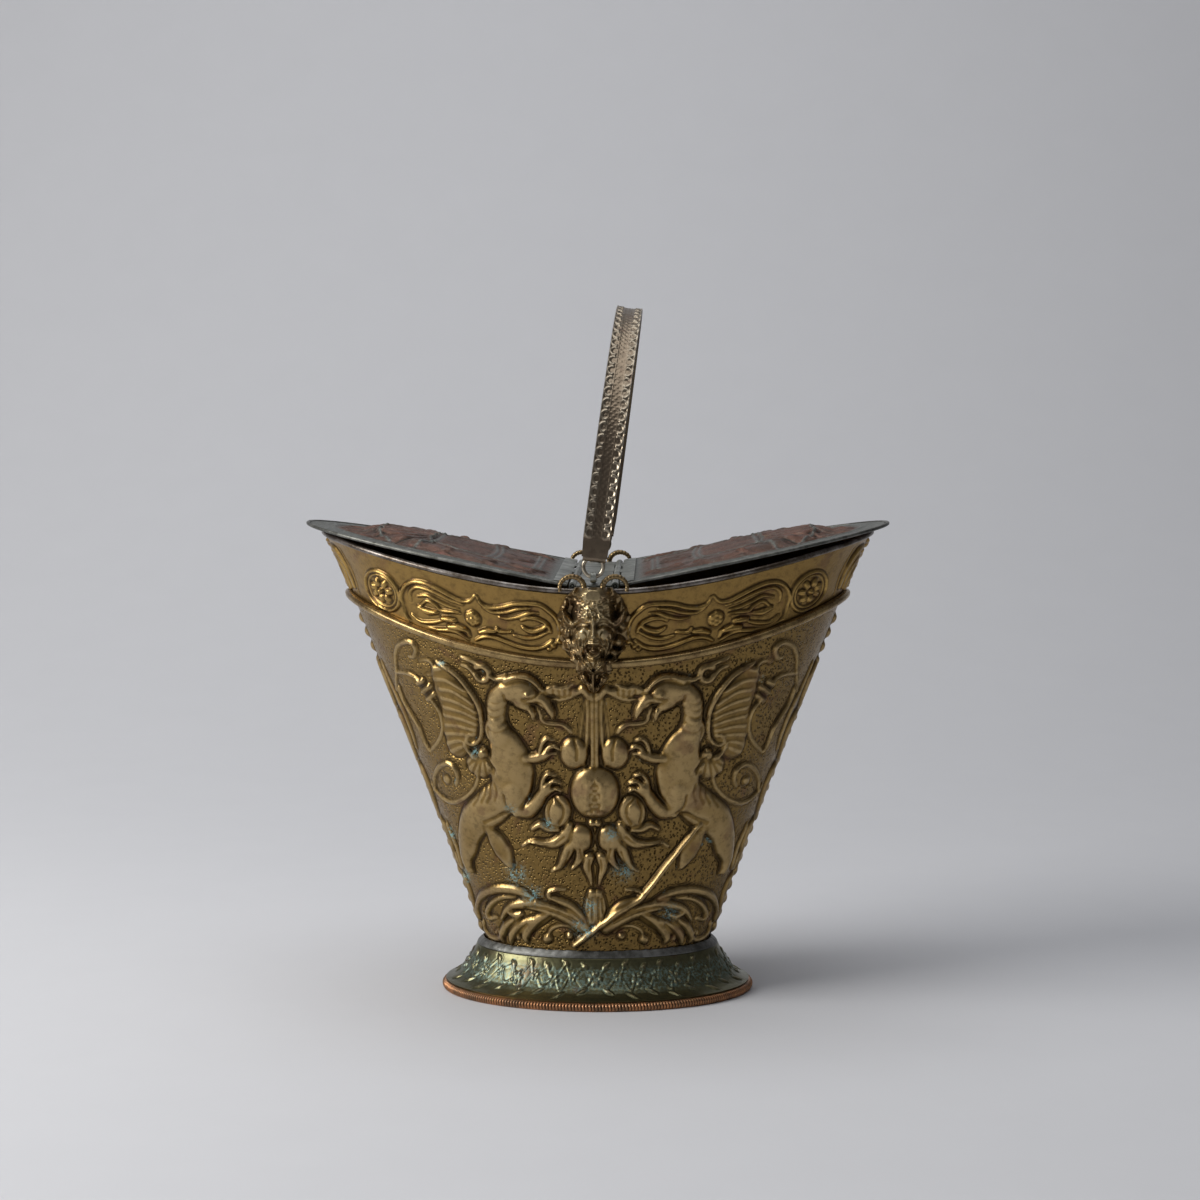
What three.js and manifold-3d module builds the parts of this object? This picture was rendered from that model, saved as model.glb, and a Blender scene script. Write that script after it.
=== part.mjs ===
// Lidded coal scuttle in embossed brass: an oval tapering body on a flared foot, a collar under a
// saddle-shaped rim, two lids hinged along the middle, and a bail handle hung on two horned masks.
// Millimetres. +Z is up, +X runs along the oval to the right, -Y is the front with its mask.
// The origin is on the ground, under the middle of the foot.
import * as THREE from 'three';
import { mergeVertices } from 'three/addons/utils/BufferGeometryUtils.js';
import Module from 'manifold-3d';

// ---------------------------------------------------------------- driving dimensions

const CLEARANCE = 0.3;            // gap between pieces that seat on each other
const SHEET = 1.2;                // brass and copper sheet
const OVAL_STEPS = 56;            // facets round every oval ring

// foot
const FOOT_HEIGHT = 33.5;         // top of the ledge under the body
const FOOT_FLANGE = 9;            // turned in under the bottom plate
const FOOT_SPREAD = 25;           // from the ledge out to the milled edge
const FOOT_EDGE_TALL = 6;
const LEDGE_AT_ENDS = 8;          // how far the foot's ledge stands out from the body
const LEDGE_AT_SIDES = 4;
const SOLDER_TALL = 5;
const PLATE_THICK = 1.4;

// lower body, from its flat bottom edge up to the rib
const BASE_HALF_LENGTH = 83;
const BASE_HALF_WIDTH = 56;
const BODY_TALL = 223;            // at the middle of each long side
const BODY_HOLLOW = 1.6;          // how far the sides bow inwards halfway up

// embossing on the lower body
const EMBOSS_RISE = 8;            // how far the griffins' bodies stand out
const EMBOSS_FINENESS = 2;        // facets of the embossed face to each facet of the oval
const EMBOSS_LEVELS = 18;

// rib where the collar meets the lower body
const RIB_HALF_LENGTH = 183;
const RIB_HALF_WIDTH = 113;
const RIB_RISE = 38;              // how much higher it stands at the ends
const RIB_TALL = 6.8;
const RIB_PROUD = 5.2;

// collar and the rolled rim at its top
const COLLAR_TALL = 51.5;         // at the middle of each long side
const COLLAR_FLARE_ENDS = 21;
const COLLAR_FLARE_SIDES = 13;
const COLLAR_BOW = 2.0;           // how far the collar bows inwards between rib and rim
const RIM_RISE = 31;              // how much higher the rim stands at the ends
const SADDLE_SOFTNESS = 0.25;     // roundness of the saddle's low middle
const ROLL_RADIUS = 1.9;

// hinge between the lids
const HINGE_OFFSET = 15;          // each pin's distance from the middle
const HINGE_OVER_RIM = 2.5;
const PIN_RADIUS = 1.2;
const PIN_PLAY = 0.3;
const KNUCKLE_RADIUS = 2.7;
const KNUCKLE_COUNT = 7;          // the bar's and the lid's by turns, the bar's at both ends
const KNUCKLE_GAP = 0.5;
const BAR_THICK = 2;

// lids
const LID_OVERHANG = 12;          // past the rim at the tips
const LID_INSET = 4.5;            // inside the rim at the sides
const LID_RISE = 38.5;            // from the hinge up to the tips
const LID_EDGE_RADIUS = 1.3;
const LID_START = 3.7;            // plate's distance from its pin
const LID_MARGIN = 0.84;          // share of the oval that the raised field fills
const LID_CROWN = 6;              // height of the raised field
const LEAF_WIDTH = 10;
const LEAF_THICK = 1.1;

// handle and the rings it hangs on
const RING_OVER_HINGE = 14.5;     // up to the centre of the rings, the axis the handle turns on
const RING_OUTSIDE_RIM = 8;
const RING_RADIUS = 6.9;
const RING_WIRE = 1.4;
const LUG_HOLE = 2.1;
const LUG_RADIUS = 3.8;
const LUG_THICK = 4;
const LUG_REACH = 20;             // how far the lug's arm lies back over the hinge bar
const STRAP_WIDTH = 19.2;
const STRAP_THICK = 2.2;
const HANDLE_TALL = 184;          // from the rings to the top of the leaning handle
const HANDLE_LEAN = 7.5;          // degrees towards +X, as it stands in its rings

// masks
const MASK_LIFT = 3.2;            // thickness of the leaf plate on the wall
const MASK_DROP = 22.5;           // how far the lowest leaf hangs below the rib
const MASK_HALF_WIDTH = 26;
const HEAD_HALF_WIDTH = 17;
const HEAD_HALF_TALL = 27;
const HEAD_DEPTH = 14;
const HORN_RADIUS = 2.1;
const HORN_SPAN = 8.5;            // half the width of a horn's curl

// ---------------------------------------------------------------- heights and ovals that follow

const BASE_HEIGHT = FOOT_HEIGHT + PLATE_THICK + 2 * CLEARANCE;
const RIB_HEIGHT = BASE_HEIGHT + BODY_TALL;
const RIM_HEIGHT = RIB_HEIGHT + COLLAR_TALL;
const HINGE_HEIGHT = RIM_HEIGHT + HINGE_OVER_RIM;
const RING_HEIGHT = HINGE_HEIGHT + RING_OVER_HINGE;
const FOOT_HALF_LENGTH = BASE_HALF_LENGTH + LEDGE_AT_ENDS;
const FOOT_HALF_WIDTH = BASE_HALF_WIDTH + LEDGE_AT_SIDES;
const RIM_HALF_LENGTH = RIB_HALF_LENGTH + COLLAR_FLARE_ENDS;
const RIM_HALF_WIDTH = RIB_HALF_WIDTH + COLLAR_FLARE_SIDES;
const LID_HALF_LENGTH = RIM_HALF_LENGTH + LID_OVERHANG;
const LID_HALF_WIDTH = RIM_HALF_WIDTH - LID_INSET;
const RING_DISTANCE = RIM_HALF_WIDTH + RING_OUTSIDE_RIM;

// ---------------------------------------------------------------- shapes of the wall

const mix = (a, b, t) => a + (b - a) * t;
const bow = (t) => 4 * t * (1 - t);
const smooth = (low, high, value) => THREE.MathUtils.smoothstep(value, low, high);
const radians = THREE.MathUtils.degToRad;

// A soft valley: 0 at the middle of the long side and 1 at the ends of the oval.
function saddle(angle) {
  const reach = Math.hypot(Math.cos(angle), SADDLE_SOFTNESS) - SADDLE_SOFTNESS;
  return reach / (Math.hypot(1, SADDLE_SOFTNESS) - SADDLE_SOFTNESS);
}

const ribHeight = (angle) => RIB_HEIGHT + RIB_RISE * saddle(angle);
const rimHeight = (angle) => RIM_HEIGHT + RIM_RISE * saddle(angle);

function ovalPoint(angle, halfLength, halfWidth, z) {
  return new THREE.Vector3(halfLength * Math.cos(angle), halfWidth * Math.sin(angle), z);
}

// Lower body: level 0 is its bottom edge and level 1 the rib.
function lowerWall(angle, out, level) {
  const inset = out - BODY_HOLLOW * bow(level);
  const halfLength = mix(BASE_HALF_LENGTH, RIB_HALF_LENGTH, level) + inset;
  const halfWidth = mix(BASE_HALF_WIDTH, RIB_HALF_WIDTH, level) + inset;
  return ovalPoint(angle, halfLength, halfWidth, mix(BASE_HEIGHT, ribHeight(angle), level));
}

// Collar: level 0 is the rib and level 1 the centre of the rolled rim.
function collarWall(angle, out, level) {
  const inset = out - COLLAR_BOW * bow(level);
  const halfLength = mix(RIB_HALF_LENGTH, RIM_HALF_LENGTH, level) + inset;
  const halfWidth = mix(RIB_HALF_WIDTH, RIM_HALF_WIDTH, level) + inset;
  return ovalPoint(angle, halfLength, halfWidth, mix(ribHeight(angle), rimHeight(angle), level));
}

// The whole wall in one: levels 0 to 1 are the lower body and 1 to 2 the collar.
const wholeWall = (angle, out, level) =>
  (level < 1 ? lowerWall(angle, out, level) : collarWall(angle, out, level - 1));

const alongRib = (angle, out, up) =>
  ovalPoint(angle, RIB_HALF_LENGTH + out, RIB_HALF_WIDTH + out, ribHeight(angle) + up);

const alongRim = (angle, out, up) =>
  ovalPoint(angle, RIM_HALF_LENGTH + out, RIM_HALF_WIDTH + out, rimHeight(angle) + up);

const alongFoot = (angle, out, z) =>
  ovalPoint(angle, FOOT_HALF_LENGTH + out, FOOT_HALF_WIDTH + out, z);

// ---------------------------------------------------------------- making solids

const wasm = await Module();
wasm.setup();

// Leaves only positions, with shared corners merged, so that the mesh is closed.
function closed(geometry) {
  const bare = geometry.clone();
  bare.deleteAttribute('normal');
  bare.deleteAttribute('uv');
  return mergeVertices(bare, 1e-3);
}

function toSolid(geometry) {
  const mesh = closed(geometry);
  return new wasm.Manifold(new wasm.Mesh({
    numProp: 3,
    vertProperties: new Float32Array(mesh.attributes.position.array),
    triVerts: new Uint32Array(mesh.index.array),
  }));
}

function toGeometry(solid) {
  const mesh = solid.getMesh();
  const geometry = new THREE.BufferGeometry();
  geometry.setAttribute('position', new THREE.BufferAttribute(mesh.vertProperties, 3));
  geometry.setIndex(new THREE.BufferAttribute(mesh.triVerts, 1));
  return geometry;
}

// Moves every vertex of a geometry by a function of its place.
function bend(geometry, place) {
  const position = geometry.attributes.position;
  const point = new THREE.Vector3();
  for (let i = 0; i < position.count; i += 1) {
    point.fromBufferAttribute(position, i);
    position.setXYZ(i, ...place(point).toArray());
  }
  return geometry;
}

// An oval ring: a closed section of [out, level] points, lathed on a round core and then laid
// along the oval by its place(angle, out, level) function. The section runs anticlockwise.
function ovalRing(section, place, steps = OVAL_STEPS) {
  const core = 100;
  const profile = [...section, section[0]].map(([out, level]) => new THREE.Vector2(core + out, level));
  return bend(new THREE.LatheGeometry(profile, steps), (point) => {
    const angle = Math.atan2(-point.z, point.x);
    return place(angle, Math.hypot(point.x, point.z) - core, point.y);
  });
}

// A sheet that follows a wall between two levels.
function sheetSection(from, to, steps) {
  const levels = Array.from({ length: steps + 1 }, (_, i) => mix(from, to, i / steps));
  const outside = levels.map((level) => [0, level]);
  const inside = levels.map((level) => [-SHEET, level]).reverse();
  return [...outside, ...inside];
}

function roundSection(radius, sides) {
  return Array.from({ length: sides }, (_, i) => {
    const turn = (2 * Math.PI * (i + 0.5)) / sides;
    return [radius * Math.cos(turn), radius * Math.sin(turn)];
  });
}

// The part of a ring in front of (side -1) or behind (side 1) the seams at its two ends.
function halfRing(geometry, side) {
  const size = 1000;
  const keep = new THREE.BoxGeometry(size, size, size);
  keep.translate(0, side * (size + CLEARANCE) / 2, 0);
  return toGeometry(toSolid(geometry).intersect(toSolid(keep)));
}

function boxBetween(low, high) {
  const box = new THREE.BoxGeometry(high[0] - low[0], high[1] - low[1], high[2] - low[2]);
  return box.translate((low[0] + high[0]) / 2, (low[1] + high[1]) / 2, (low[2] + high[2]) / 2);
}

// A round bar along Y, centred at (x, y, z).
function barAlongY(radius, length, x, y, z, sides = 12) {
  return new THREE.CylinderGeometry(radius, radius, length, sides).translate(x, y, z);
}

// A round bar along X, centred at (x, y, z).
function barAlongX(radius, length, x, y, z, sides = 16) {
  return new THREE.CylinderGeometry(radius, radius, length, sides).rotateZ(Math.PI / 2).translate(x, y, z);
}

const joinAll = (geometries) => geometries.map(toSolid).reduce((sum, solid) => sum.add(solid));

// A shape drawn in the YZ plane, given thickness along X about the middle.
function standingPlate(shape, thickness) {
  const plate = new THREE.ExtrudeGeometry(shape, { depth: thickness, bevelEnabled: false, curveSegments: 10 });
  plate.translate(0, 0, -thickness / 2);
  return plate.rotateX(Math.PI / 2).rotateZ(Math.PI / 2);
}

// ---------------------------------------------------------------- body and collar

// Main forms of the embossing on a quarter of the lower body, the same on the other three. Each runs through
// places [share of the quarter round from the middle of the long side, level]. Then come half its width, as a
// share of the body's height at each place, and its height, as a share of the griffins'.
const EMBOSSED_FORMS = [
  // wing, neck, head and beak of a griffin
  [[[0.448, 0.829], [0.42, 0.751], [0.467, 0.643]], [0.055, 0.07, 0.055], 0.55],
  [[[0.251, 0.861], [0.283, 0.806], [0.292, 0.75]], [0.035, 0.036, 0.04], 0.95],
  [[[0.22, 0.869], [0.18, 0.87]], [0.044, 0.042], 1.05],
  [[[0.15, 0.858], [0.118, 0.825]], [0.026, 0.014], 0.9],
  // its chest and belly, haunch, hind shank, forearm and raised paw
  [[[0.292, 0.737], [0.28, 0.641], [0.291, 0.549], [0.329, 0.497]], [0.045, 0.07, 0.075, 0.06], 1.05],
  [[[0.402, 0.463], [0.521, 0.401], [0.63, 0.31]], [0.065, 0.062, 0.04], 0.8],
  [[[0.425, 0.353], [0.39, 0.3]], [0.032, 0.02], 0.5],
  [[[0.285, 0.467], [0.214, 0.504], [0.165, 0.562]], [0.03, 0.03, 0.02], 1],
  [[[0.215, 0.657], [0.155, 0.684]], [0.02, 0.02], 0.7],
  // pomegranate, the fruits round it and its leaves
  [[[0, 0.565], [0.01, 0.565]], [0.082, 0.08], 1.3],
  [[[0.062, 0.693], [0.062, 0.69]], [0.05, 0.05], 0.95],
  [[[0.132, 0.49], [0.132, 0.487]], [0.052, 0.052], 1],
  [[[0.054, 0.406], [0.054, 0.403]], [0.045, 0.045], 0.9],
  [[[0.22, 0.375], [0.11, 0.419]], [0.012, 0.026], 0.6],
  [[[0.147, 0.31], [0.07, 0.391]], [0.014, 0.03], 0.6],
  // scrolls of leaves along the bottom
  [[[0.054, 0.098], [0.219, 0.148], [0.382, 0.154]], [0.026, 0.028, 0.02], 0.7],
  [[[0.296, 0.172], [0.46, 0.195], [0.703, 0.143]], [0.02, 0.024, 0.018], 0.6],
  [[[0.049, 0.115], [0.126, 0.172], [0.207, 0.2]], [0.022, 0.022, 0.012], 0.7],
  [[[0.195, 0.143], [0.362, 0.085]], [0.02, 0.026], 0.6],
  [[[0, 0.12], [0, 0.2]], [0.026, 0.026], 0.65],
  // leaves up the stalk at the end of the oval
  [[[1, 0.85], [0.94, 0.77], [1, 0.67]], [0.03, 0.034, 0.02], 0.75],
  [[[0.91, 0.62], [1, 0.52]], [0.034, 0.02], 0.75],
  [[[0.9, 0.44], [1, 0.35]], [0.034, 0.02], 0.7],
  [[[0.89, 0.27], [1, 0.18]], [0.03, 0.018], 0.6],
].map(([places, widths, share]) => ({
  line: places.map(([across, level]) => lowerWall(0.5 * Math.PI * (1 - across), 0, level)),
  halves: widths.map((width) => width * BODY_TALL),
  rise: share * EMBOSS_RISE,
}));

// Height of the embossing at a place on the wall: the highest form there, each rounded off across its width.
function embossing(place) {
  const folded = new THREE.Vector3(Math.abs(place.x), Math.abs(place.y), place.z);
  const nearest = new THREE.Vector3();
  let height = 0;
  for (const { line, halves, rise } of EMBOSSED_FORMS) {
    for (let i = 0; i + 1 < line.length; i += 1) {
      const run = new THREE.Line3(line[i], line[i + 1]);
      const along = run.closestPointToPointParameter(folded, true);
      const share = run.at(along, nearest).distanceTo(folded) / mix(halves[i], halves[i + 1], along);
      height = Math.max(height, share < 1 ? rise * Math.sqrt(1 - share ** 2) : 0);
    }
  }
  return height;
}

// The lower wall on the flat facets between the oval's corners. The sheet is pressed out from behind, so
// that both its faces follow the embossing and the forms are hollow inside.
function embossedWall(angle, out, level) {
  const step = (2 * Math.PI) / OVAL_STEPS;
  const corner = Math.floor(angle / step + 1e-6) * step;
  const onFacet = (reach) => lowerWall(corner, reach, level)
    .lerp(lowerWall(corner + step, reach, level), (angle - corner) / step);
  return onFacet(out + embossing(onFacet(0)));
}

function lowerBody(side) {
  const section = sheetSection(0, 1 - CLEARANCE / BODY_TALL, EMBOSS_LEVELS);
  return halfRing(ovalRing(section, embossedWall, EMBOSS_FINENESS * OVAL_STEPS), side);
}

function collar(side) {
  const top = 1 - (ROLL_RADIUS + 2 * CLEARANCE) / COLLAR_TALL;
  return halfRing(ovalRing(sheetSection(0, top, 4), collarWall), side);
}

// Half-round moulding over the joint of the collar and the lower body, leaning with the flare.
function ribMoulding() {
  const half = RIB_TALL / 2;
  const flare = COLLAR_FLARE_ENDS / COLLAR_TALL;
  const steps = 5;
  const section = Array.from({ length: steps + 1 }, (_, i) => {
    const turn = Math.PI * (i / steps - 0.5);
    const up = half * Math.sin(turn);
    return [CLEARANCE + Math.max(0, up * flare) + RIB_PROUD * Math.cos(turn), up];
  });
  return ovalRing([...section, [CLEARANCE, 0]], alongRib);
}

const rimRoll = () => ovalRing(roundSection(ROLL_RADIUS, 6), alongRim);

// ---------------------------------------------------------------- foot

function bottomPlate() {
  const shape = new THREE.Shape().absellipse(0, 0, BASE_HALF_LENGTH, BASE_HALF_WIDTH, 0, 2 * Math.PI);
  const plate = new THREE.ExtrudeGeometry(shape, {
    depth: PLATE_THICK, bevelEnabled: false, curveSegments: OVAL_STEPS,
  });
  return plate.translate(0, 0, FOOT_HEIGHT + CLEARANCE);
}

// The foot's outside from the turned-in flange, over the ledge, down the flare to the brim.
function footOutline() {
  const drop = FOOT_HEIGHT - FOOT_EDGE_TALL - CLEARANCE;
  const flare = [[0, 0], [0.14, 0.24], [0.34, 0.52], [0.5, 0.74], [0.94, 0.96]];
  const wall = flare.map(([across, down]) => [across * FOOT_SPREAD, FOOT_HEIGHT - down * drop]);
  return [[-FOOT_FLANGE, FOOT_HEIGHT], ...wall];
}

function footSkirt() {
  const outside = footOutline();
  const inside = outside.map(([out, z]) => [Math.min(out, out - SHEET * 0.6), z - SHEET]);
  inside[0][0] = -FOOT_FLANGE;
  return ovalRing([...outside.reverse(), ...inside], alongFoot);
}

// Milled edge that the scuttle stands on: flat underneath, rounded outside.
function footEdge() {
  const half = FOOT_EDGE_TALL / 2;
  const rounding = [[-0.9, -1], [0.3, -1], [0.8, -0.55], [1, 0], [0.8, 0.6], [0.2, 1], [-0.9, 1]];
  const section = rounding.map(([out, up]) => [FOOT_SPREAD + half * (out - 0.5), half * (up + 1)]);
  return ovalRing(section, alongFoot);
}

// Solder round the joint: a soft fillet from the body's bottom edge out to the foot's ledge.
// Its section counts from 0 at the body's edge to 1 at the ledge.
function footSolder() {
  const foot = FOOT_HEIGHT + CLEARANCE;
  const section = [[0.12, 0], [0.97, 0], [0.85, 0.35], [0.55, 0.8], [0.38, 1]];
  const bothOvals = (angle, share, z) => ovalPoint(
    angle,
    mix(BASE_HALF_LENGTH, FOOT_HALF_LENGTH, share),
    mix(BASE_HALF_WIDTH, FOOT_HALF_WIDTH, share),
    z,
  );
  return ovalRing(section.map(([share, up]) => [share, foot + up * SOLDER_TALL]), bothOvals);
}

// ---------------------------------------------------------------- hinge

// The hinge runs along the lid's straight side, as long as the lid is wide there.
const HINGE_HALF = RIM_HALF_WIDTH - ROLL_RADIUS - CLEARANCE;
const KNUCKLE_PITCH = (2 * (LID_HALF_WIDTH - 2)) / KNUCKLE_COUNT;
const BAR_TOP = HINGE_HEIGHT + BAR_THICK * 0.3;
const BAR_HALF_WIDTH = HINGE_OFFSET - KNUCKLE_RADIUS - 2 * CLEARANCE;

// Barrels of one set with the webs that carry them: first 0 for the bar's set, 1 for the lid's.
function knuckles(first, x, z, webLow, webHigh) {
  const pieces = [];
  for (let i = first; i < KNUCKLE_COUNT; i += 2) {
    const y = (i - (KNUCKLE_COUNT - 1) / 2) * KNUCKLE_PITCH;
    const length = KNUCKLE_PITCH - KNUCKLE_GAP;
    pieces.push(barAlongY(KNUCKLE_RADIUS, length, x, y, z));
    pieces.push(boxBetween([webLow[0], y - length / 2, webLow[1]], [webHigh[0], y + length / 2, webHigh[1]]));
  }
  return pieces;
}

const pinBore = (x, z) => toSolid(barAlongY(PIN_RADIUS + PIN_PLAY, 4 * LID_HALF_WIDTH, x, 0, z));

function hingeBar() {
  const low = BAR_TOP - BAR_THICK;
  const plate = boxBetween([-BAR_HALF_WIDTH, -HINGE_HALF, low], [BAR_HALF_WIDTH, HINGE_HALF, BAR_TOP]);
  const right = knuckles(0, HINGE_OFFSET, HINGE_HEIGHT, [BAR_HALF_WIDTH - 1, low], [HINGE_OFFSET, BAR_TOP]);
  const left = knuckles(0, -HINGE_OFFSET, HINGE_HEIGHT, [-HINGE_OFFSET, low], [1 - BAR_HALF_WIDTH, BAR_TOP]);
  const bores = pinBore(HINGE_OFFSET, HINGE_HEIGHT).add(pinBore(-HINGE_OFFSET, HINGE_HEIGHT));
  return toGeometry(joinAll([plate, ...right, ...left]).subtract(bores));
}

function hingePin(x) {
  const length = KNUCKLE_COUNT * KNUCKLE_PITCH + 2 * CLEARANCE;
  return barAlongY(PIN_RADIUS, length, x, 0, HINGE_HEIGHT);
}

// ---------------------------------------------------------------- lids
// A lid is drawn flat with its pin on the Y axis and its plate running out along +X.

const LID_SLOPE = Math.atan2(LID_RISE, LID_HALF_LENGTH - HINGE_OFFSET);
const LID_LENGTH = (LID_HALF_LENGTH - HINGE_OFFSET) / Math.cos(LID_SLOPE);

// Half the lid's width at a distance from the pin, for an outline drawn in by inset.
function lidHalfWidth(x, inset) {
  const share = (HINGE_OFFSET + x * Math.cos(LID_SLOPE)) / (LID_HALF_LENGTH - inset);
  return (LID_HALF_WIDTH - inset) * Math.sqrt(Math.max(0, 1 - share * share));
}

const LEAF_END = LID_START + LEAF_WIDTH;

// Height of the raised field: flat inside, sloping to nothing at the plain margin.
function lidCrown(x, y) {
  const along = (HINGE_OFFSET + x * Math.cos(LID_SLOPE)) / LID_HALF_LENGTH;
  const across = y / LID_HALF_WIDTH;
  const rim = 1 - smooth(LID_MARGIN - 0.1, LID_MARGIN, Math.hypot(along, across));
  return LID_CROWN * rim * smooth(LEAF_END + 0.15 * LID_CROWN, LEAF_END + 2 * LID_CROWN, x);
}

// A thin flat box, bent to the half oval and crowned. Its first strip lies under the hinge leaf.
function lidPlate() {
  const inset = LID_EDGE_RADIUS + 2 * CLEARANCE;
  const steps = 14;
  const reach = 0.9985 * (LID_HALF_LENGTH - inset);
  const field = LEAF_END + 1;
  const end = (reach - HINGE_OFFSET) / Math.cos(LID_SLOPE);
  const distance = (step) => {
    const beyond = (step - 1) / (steps - 1);
    return step === 0 ? LID_START : mix(field, end, Math.sin((Math.PI / 2) * beyond));
  };
  return bend(new THREE.BoxGeometry(1, 2, SHEET, steps, 10, 1), (point) => {
    const x = distance(Math.round((point.x + 0.5) * steps));
    const y = point.y * lidHalfWidth(x, inset);
    return new THREE.Vector3(x, y, point.z + lidCrown(x, y));
  });
}

// The wired edge follows the half oval from one end of the hinge to the other.
class LidOutline extends THREE.Curve {
  getPoint(t, target = new THREE.Vector3()) {
    const start = Math.acos((HINGE_OFFSET + LID_START) / LID_HALF_LENGTH);
    const angle = mix(-start, start, t);
    const x = (LID_HALF_LENGTH * Math.cos(angle) - HINGE_OFFSET) / Math.cos(LID_SLOPE);
    return target.set(x, LID_HALF_WIDTH * Math.sin(angle), 0);
  }
}

function tubeShape(radius, sides) {
  return new THREE.Shape(roundSection(radius, sides).map(([x, y]) => new THREE.Vector2(x, y)));
}

function lidEdge() {
  return new THREE.ExtrudeGeometry(tubeShape(LID_EDGE_RADIUS, 6), {
    steps: 32, extrudePath: new LidOutline(), bevelEnabled: false,
  });
}

// Hinge leaf: a strip lying on the plate's straight side, with the lid's own knuckles.
function lidLeaf() {
  const low = SHEET / 2 + CLEARANCE;
  const high = low + LEAF_THICK;
  const half = lidHalfWidth(LEAF_END, LID_EDGE_RADIUS + CLEARANCE) - 1;
  const strip = boxBetween([LID_START, -half, low], [LEAF_END, half, high]);
  const barrels = knuckles(1, 0, 0, [0, low], [LID_START + 1, high]);
  return toGeometry(joinAll([strip, ...barrels]).subtract(pinBore(0, 0)));
}

// ---------------------------------------------------------------- handle
// The handle is drawn upright with the ring centres on the Y axis through its own origin.

const LEAN = radians(HANDLE_LEAN);
const UPPER_EDGE = (STRAP_WIDTH / 2) * Math.sin(LEAN);
const HANDLE_RISE = (HANDLE_TALL - UPPER_EDGE) / Math.cos(LEAN) - STRAP_THICK / 2;
const STRAP_START = RING_RADIUS - CLEARANCE;
const STRAP_DISTANCE = RING_DISTANCE + RING_WIRE + 3 * CLEARANCE + STRAP_THICK / 2;

// Half an oval standing on the two rings.
class Arch extends THREE.Curve {
  getPoint(t, target = new THREE.Vector3()) {
    const angle = Math.PI * (1 - t);
    const rise = (HANDLE_RISE - STRAP_START) * Math.sin(angle);
    return target.set(0, STRAP_DISTANCE * Math.cos(angle), STRAP_START + rise);
  }
}

function strapEye(side) {
  const y = side * RING_DISTANCE;
  const outer = barAlongX(LUG_RADIUS - CLEARANCE, LUG_THICK, 0, y, RING_RADIUS);
  const neck = boxBetween(
    [-LUG_THICK / 2, Math.min(y, side * STRAP_DISTANCE), RING_RADIUS],
    [LUG_THICK / 2, Math.max(y, side * STRAP_DISTANCE), RING_RADIUS + LUG_RADIUS - CLEARANCE],
  );
  return [outer, neck];
}

// An embossed strap bent to the arch, its ends folded back into narrow eyes for the rings.
function handleStrap() {
  const halfWidth = STRAP_WIDTH / 2;
  const halfThick = STRAP_THICK / 2;
  const section = new THREE.Shape([
    new THREE.Vector2(-halfWidth, -halfThick), new THREE.Vector2(halfWidth, -halfThick),
    new THREE.Vector2(halfWidth, halfThick), new THREE.Vector2(-halfWidth, halfThick),
  ]);
  const strap = new THREE.ExtrudeGeometry(section, { steps: 40, extrudePath: new Arch(), bevelEnabled: false });
  const eyes = [-1, 1].flatMap((side) => strapEye(side));
  const holes = [-1, 1].map((side) => barAlongX(LUG_HOLE, 2 * LUG_THICK, 0, side * RING_DISTANCE, RING_RADIUS));
  return toGeometry(joinAll([strap, ...eyes]).subtract(joinAll(holes)));
}

function handleRing(side) {
  return new THREE.TorusGeometry(RING_RADIUS, RING_WIRE, 6, 24)
    .rotateX(Math.PI / 2)
    .translate(0, side * RING_DISTANCE, 0);
}

// Lug that carries a ring: an arm lying on the end of the hinge bar, over the rim, with an eye.
// Drawn in [y, z] with y counted outwards.
function ringLug(side) {
  const base = BAR_TOP + CLEARANCE;
  const eyeHeight = RING_HEIGHT - RING_RADIUS;
  const back = HINGE_HALF - LUG_REACH;
  const arm = new THREE.Shape([
    new THREE.Vector2(back, base), new THREE.Vector2(RIM_HALF_WIDTH + ROLL_RADIUS, base),
    new THREE.Vector2(RING_DISTANCE + LUG_RADIUS / 2, eyeHeight - LUG_RADIUS * 0.8),
    new THREE.Vector2(RING_DISTANCE - LUG_RADIUS / 2, eyeHeight + LUG_RADIUS * 0.8),
    new THREE.Vector2(back, base + BAR_THICK),
  ]);
  const eye = barAlongX(LUG_RADIUS, LUG_THICK, 0, RING_DISTANCE, eyeHeight);
  const hole = barAlongX(LUG_HOLE, 2 * LUG_THICK, 0, RING_DISTANCE, eyeHeight);
  const lug = joinAll([standingPlate(arm, LUG_THICK), eye]).subtract(toSolid(hole));
  return side > 0 ? toGeometry(lug) : toGeometry(lug).rotateZ(Math.PI);
}

// ---------------------------------------------------------------- masks
// A mask is drawn at the front and turned round for the back.

const wallLevel = (angle, z) => (z < ribHeight(angle)
  ? (z - BASE_HEIGHT) / (ribHeight(angle) - BASE_HEIGHT)
  : 1 + (z - ribHeight(angle)) / (rimHeight(angle) - ribHeight(angle)));

// How far forward the wall, rib and rim reach beside the middle, for a mask's back to clear.
// The rib and rim count as wide steps, because the back has only coarse facets.
function wallReach(x, z) {
  let angle = Math.PI / 2;
  let level = 1;
  for (let i = 0; i < 4; i += 1) {
    angle = Math.acos(x / mix(RIB_HALF_LENGTH, RIM_HALF_LENGTH, Math.max(level, 1) - 1));
    level = Math.min(2, wallLevel(angle, z));
  }
  const fromRib = Math.abs(z - ribHeight(angle)) - RIB_TALL / 2;
  const underRim = rimHeight(angle) - ROLL_RADIUS - z;
  const overRib = (RIB_PROUD + 2 * CLEARANCE) * (1 - smooth(MASK_ROW, 2 * MASK_ROW, fromRib));
  const overRim = (ROLL_RADIUS + CLEARANCE) * (1 - smooth(0, MASK_ROW, underRim));
  return wholeWall(angle, 0, level).y + overRib + overRim + CLEARANCE;
}

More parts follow.
